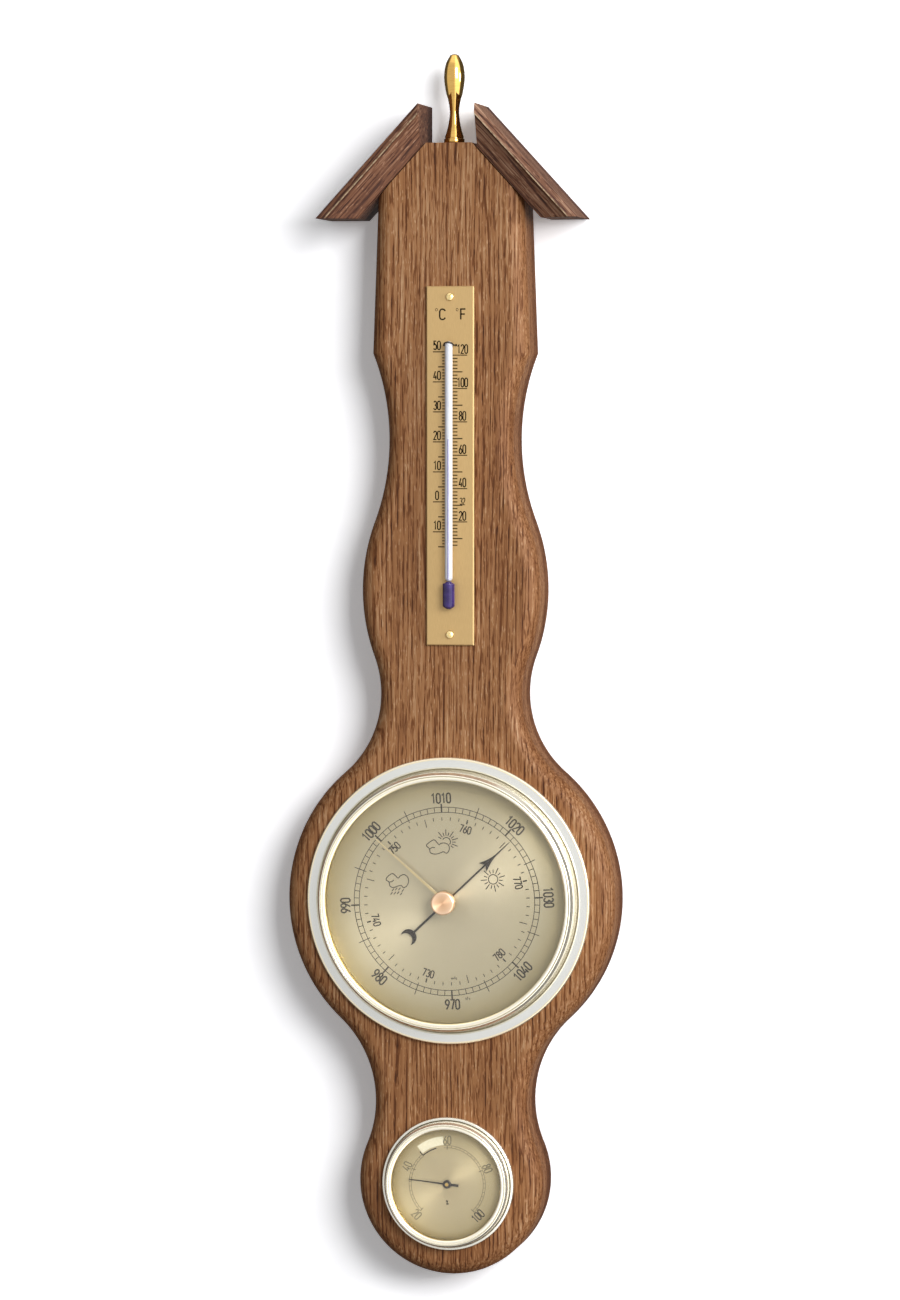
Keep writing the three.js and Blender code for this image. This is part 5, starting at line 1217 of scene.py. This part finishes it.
HYGRO_STEP = math.radians(67.5)  # for 20 %
COMFORT = (-41, -5)  # degrees from the top
z, front = HYGRO_PRINT
numbers, scale = [], []
for index, value in enumerate((20, 40, 60, 80, 100)):
    ink = numbers if value == 100 else scale
    ink.append(numeral(str(value), HYGRO_STEP * (index - 2), 15.8, 3.0, 0.38, 0.4, HYGRO_PRINT))
for step in range(41):
    angle = HYGRO_STEP * (step / 10 - 2)
    inner, width = (13.1, 0.18) if step % 10 else (12.4, 0.3)
    if not COMFORT[0] < math.degrees(angle) < COMFORT[1]:
        scale.append(tick(angle, inner, 13.9, width, HYGRO_PRINT))
for radius in (13.1, 13.9):
    for start, end in ((-135, COMFORT[0]), (COMFORT[1], 135)):
        scale.append(line_of(arc(0, z, radius, radius, 90 - start, 90 - end, 50), 0.18, front))
numbers.append(lettering("%", 1.5, 0.5, 0.22, 0, z - 6.6, 0, front))
under_band = arc(0, z, 13.4, 13.4, 90 - COMFORT[0], 90 - COMFORT[1] + 12, 14)
numbers.append(line_of(under_band, 0.42, front))
numbers.append(tick(math.radians(COMFORT[0]), 13.4, 15.2, 0.36, HYGRO_PRINT))
piece("hygrometer_numbers", joined(*numbers), print_black, sharp=60)
piece("hygrometer_scale", joined(*scale), print_grey, sharp=60)
band = arc(0, z, 17.2, 17.2, 90 - COMFORT[0] - 1.5, 90 - COMFORT[1], 16)
band += arc(0, z, 14.1, 14.1, 90 - COMFORT[1], 90 - COMFORT[0] - 1.5, 16)
piece("comfort_band", flat(band, front, front + INK), print_cream, sharp=60)


def plate_line(x0, x1, z, width):
    return line_of([(THERMO_X + x0, z), (THERMO_X + x1, z)], width, PLATE_PRINT_Y)


def plate_word(words, height, width, weight, x, z):
    return lettering(words, height, width, weight, THERMO_X + x, z, 0, PLATE_PRINT_Y)


def fahrenheit_z(value):
    return CELSIUS_ZERO_Z + (value - 32) / 1.8 * CELSIUS_STEP


marks = []
for degrees in range(-15, 51):
    reach = 6.2 if degrees % 10 == 0 else 4.3 if degrees % 5 == 0 else 2.8
    z = CELSIUS_ZERO_Z + degrees * CELSIUS_STEP
    marks.append(plate_line(-reach, -0.8, z, 0.34 if reach > 5 else 0.38))
for degrees in range(6, 121, 2):
    reach = 6.2 if degrees % 20 == 0 else 4.5 if degrees % 10 == 0 else 2.7
    marks.append(plate_line(0.8, reach, fahrenheit_z(degrees), 0.34 if reach > 5 else 0.38))
for degrees in range(-10, 51, 10):
    z = CELSIUS_ZERO_Z + degrees * CELSIUS_STEP + 2.3
    marks.append(plate_word(str(abs(degrees)), 3.0, 0.34, 0.42, -4.7, z))
for degrees in (20, 32, 40, 60, 80, 100, 120):
    height, weight, above = (2.4, 0.3, 0.2) if degrees == 32 else (3.1, 0.42, 2.15)
    marks.append(plate_word(str(degrees), height, 0.32, weight, 4.5, fahrenheit_z(degrees) + above))
for words, x in (("C", -2.8), ("F", 4.7)):
    marks.append(plate_word(words, 3.7, 0.52, 0.52, x, 124.0))
    marks.append(plate_word("o", 4.0, 0.4, 0.16, x - 1.7, 124.2))
piece("thermometer_scale", joined(*marks), print_black, sharp=60)

# Wall, light, camera

# The wall is the backdrop, so it is lifted to clear white, and its shadows with it.
WALL_LIFT = 1.43
WALL_GLOW = 0.19
WALL_HALF = 2500
WALL_Y = 2  # close behind the board
CAMERA_PLACE = (0.350, -1.822, 0.087)  # in metres
CAMERA_AIM = (0.0005, -0.022, 0.0046)


def wall():
    """A plain wall that the object hangs on, rolled with matt white emulsion: an even white with
    a faint cloud, which shows the object's shadow. From behind it is clear, so that the back can
    be seen, and there the sky lights the back."""
    square = [(-1, -1), (1, -1), (1, 1), (-1, 1)]
    corners = [Vector((x * WALL_HALF, WALL_Y, z * WALL_HALF)) * MM for x, z in square]
    mesh = bpy.data.meshes.new("wall")
    mesh.from_pydata(corners, [], [(0, 1, 2, 3)])
    material, tree = new_finish("matt_white_emulsion")
    path = add(tree, "LightPath").node.outputs
    grain = add(tree, "TexNoise", {"Vector": in_mm(tree, 0.2, 0.2, 0.2), "Scale": 1, "Detail": 2})
    tone = add(tree, "ValToRGB", (grain,), stops=[(0.3, "#f8f8fa"), (0.7, "#f5f5f8")])
    bright = add(tree, "VectorMath", {0: tone, "Scale": WALL_LIFT}, operation="SCALE")
    paint = add(tree, "BsdfDiffuse", {"Color": bright})
    lit = add(tree, "AddShader", (paint, add(tree, "Emission", {"Strength": WALL_GLOW})))
    behind = add(tree, "NewGeometry", take="Backfacing")
    rays_that_see = (path["Is Camera Ray"], path["Is Transmission Ray"])
    seen = add(tree, "Math", rays_that_see, operation="MAXIMUM")
    front = add(tree, "Math", (seen, behind), operation="SUBTRACT", use_clamp=True)
    both = add(tree, "MixShader", (front, add(tree, "BsdfTransparent"), lit))
    add(tree, "OutputMaterial", {"Surface": both})
    mesh.materials.append(material)
    placed("wall", mesh)


def studio():
    """A soft screen in front of the object, dimmer on the left and below. Metal and glass see the
    screen at full strength over dim sides, and the camera sees white."""
    world, tree = blank(bpy.data.worlds.new("studio"))
    bpy.context.scene.world = world
    direction = add(tree, "TexCoord", take="Generated")
    axes = add(tree, "SeparateXYZ", (direction,)).node.outputs
    path = add(tree, "LightPath").node.outputs

    def level(base, *parts):
        """A brightness that rises by an amount along an axis, from one place to another."""
        for axis, start, end, high in parts:
            reach = (axes[axis], start, end, 0, high)
            part = add(tree, "MapRange", reach, interpolation_type="SMOOTHSTEP")
            base = add(tree, "Math", (base, part), operation="ADD")
        return base

    screen = (("Y", -0.1, -0.9, 0.12), ("X", -0.3, 0.8, 0.11), ("Z", -0.2, 0.8, 0.11))
    soft = level(0.03, *screen, ("Y", 0.62, 0.8, 1.15))
    screens = level(0.84, ("X", 0.1, 0.45, 1.4), ("Z", 0.4, 0.9, 0.2))
    ahead = level(0.0, ("Y", 0.0, -0.3, 1.0))
    around_them = level(0.12, ("Y", 0.97, 0.995, 0.6), ("Z", 0.5, 0.9, 0.6))
    mirrored = add(tree, "Math", (ahead, screens, around_them), operation="MULTIPLY_ADD")
    shiny_rays = (path["Is Glossy Ray"], path["Is Transmission Ray"])
    shiny = add(tree, "Math", shiny_rays, operation="MAXIMUM")
    inner = add(tree, "Mix", {0: shiny, 2: soft, 3: mirrored}, data_type="FLOAT")
    seen = add(tree, "Mix", {0: path["Is Camera Ray"], 2: inner, 3: 1.0}, data_type="FLOAT")
    sky = add(tree, "Background", {"Color": (1, 1, 1, 1), "Strength": seen})
    add(tree, "OutputWorld", {"Surface": sky})


def facing(thing, place, aim):
    """Puts a lamp or a camera in a place and turns it to an aim, both in metres."""
    thing.location = place
    thing.rotation_mode = "QUATERNION"
    thing.rotation_quaternion = (Vector(place) - Vector(aim)).to_track_quat("Z", "Y")


def lamp(name, direction, distance, size, power):
    """A square soft box that faces the middle of the object."""
    light = bpy.data.lights.new(name, "AREA")
    light.shape, light.size, light.energy = "SQUARE", size, power
    facing(placed(name, light), Vector(direction).normalized() * distance, (0, 0, 0))


wall()
studio()
lamp("soft_box_right", (0.7, -1, 0.38), 2.0, 0.85, 30)
lamp("side_box_right", (1, -0.3, 0.15), 2.0, 0.6, 16)

camera_data = bpy.data.cameras.new("camera")
camera_data.sensor_fit = "VERTICAL"
camera_data.sensor_height = 36
camera_data.lens = 142.6
camera = placed("camera", camera_data)
facing(camera, CAMERA_PLACE, CAMERA_AIM)
bpy.context.scene.camera = camera
bpy.context.scene.view_settings.view_transform = "Standard"
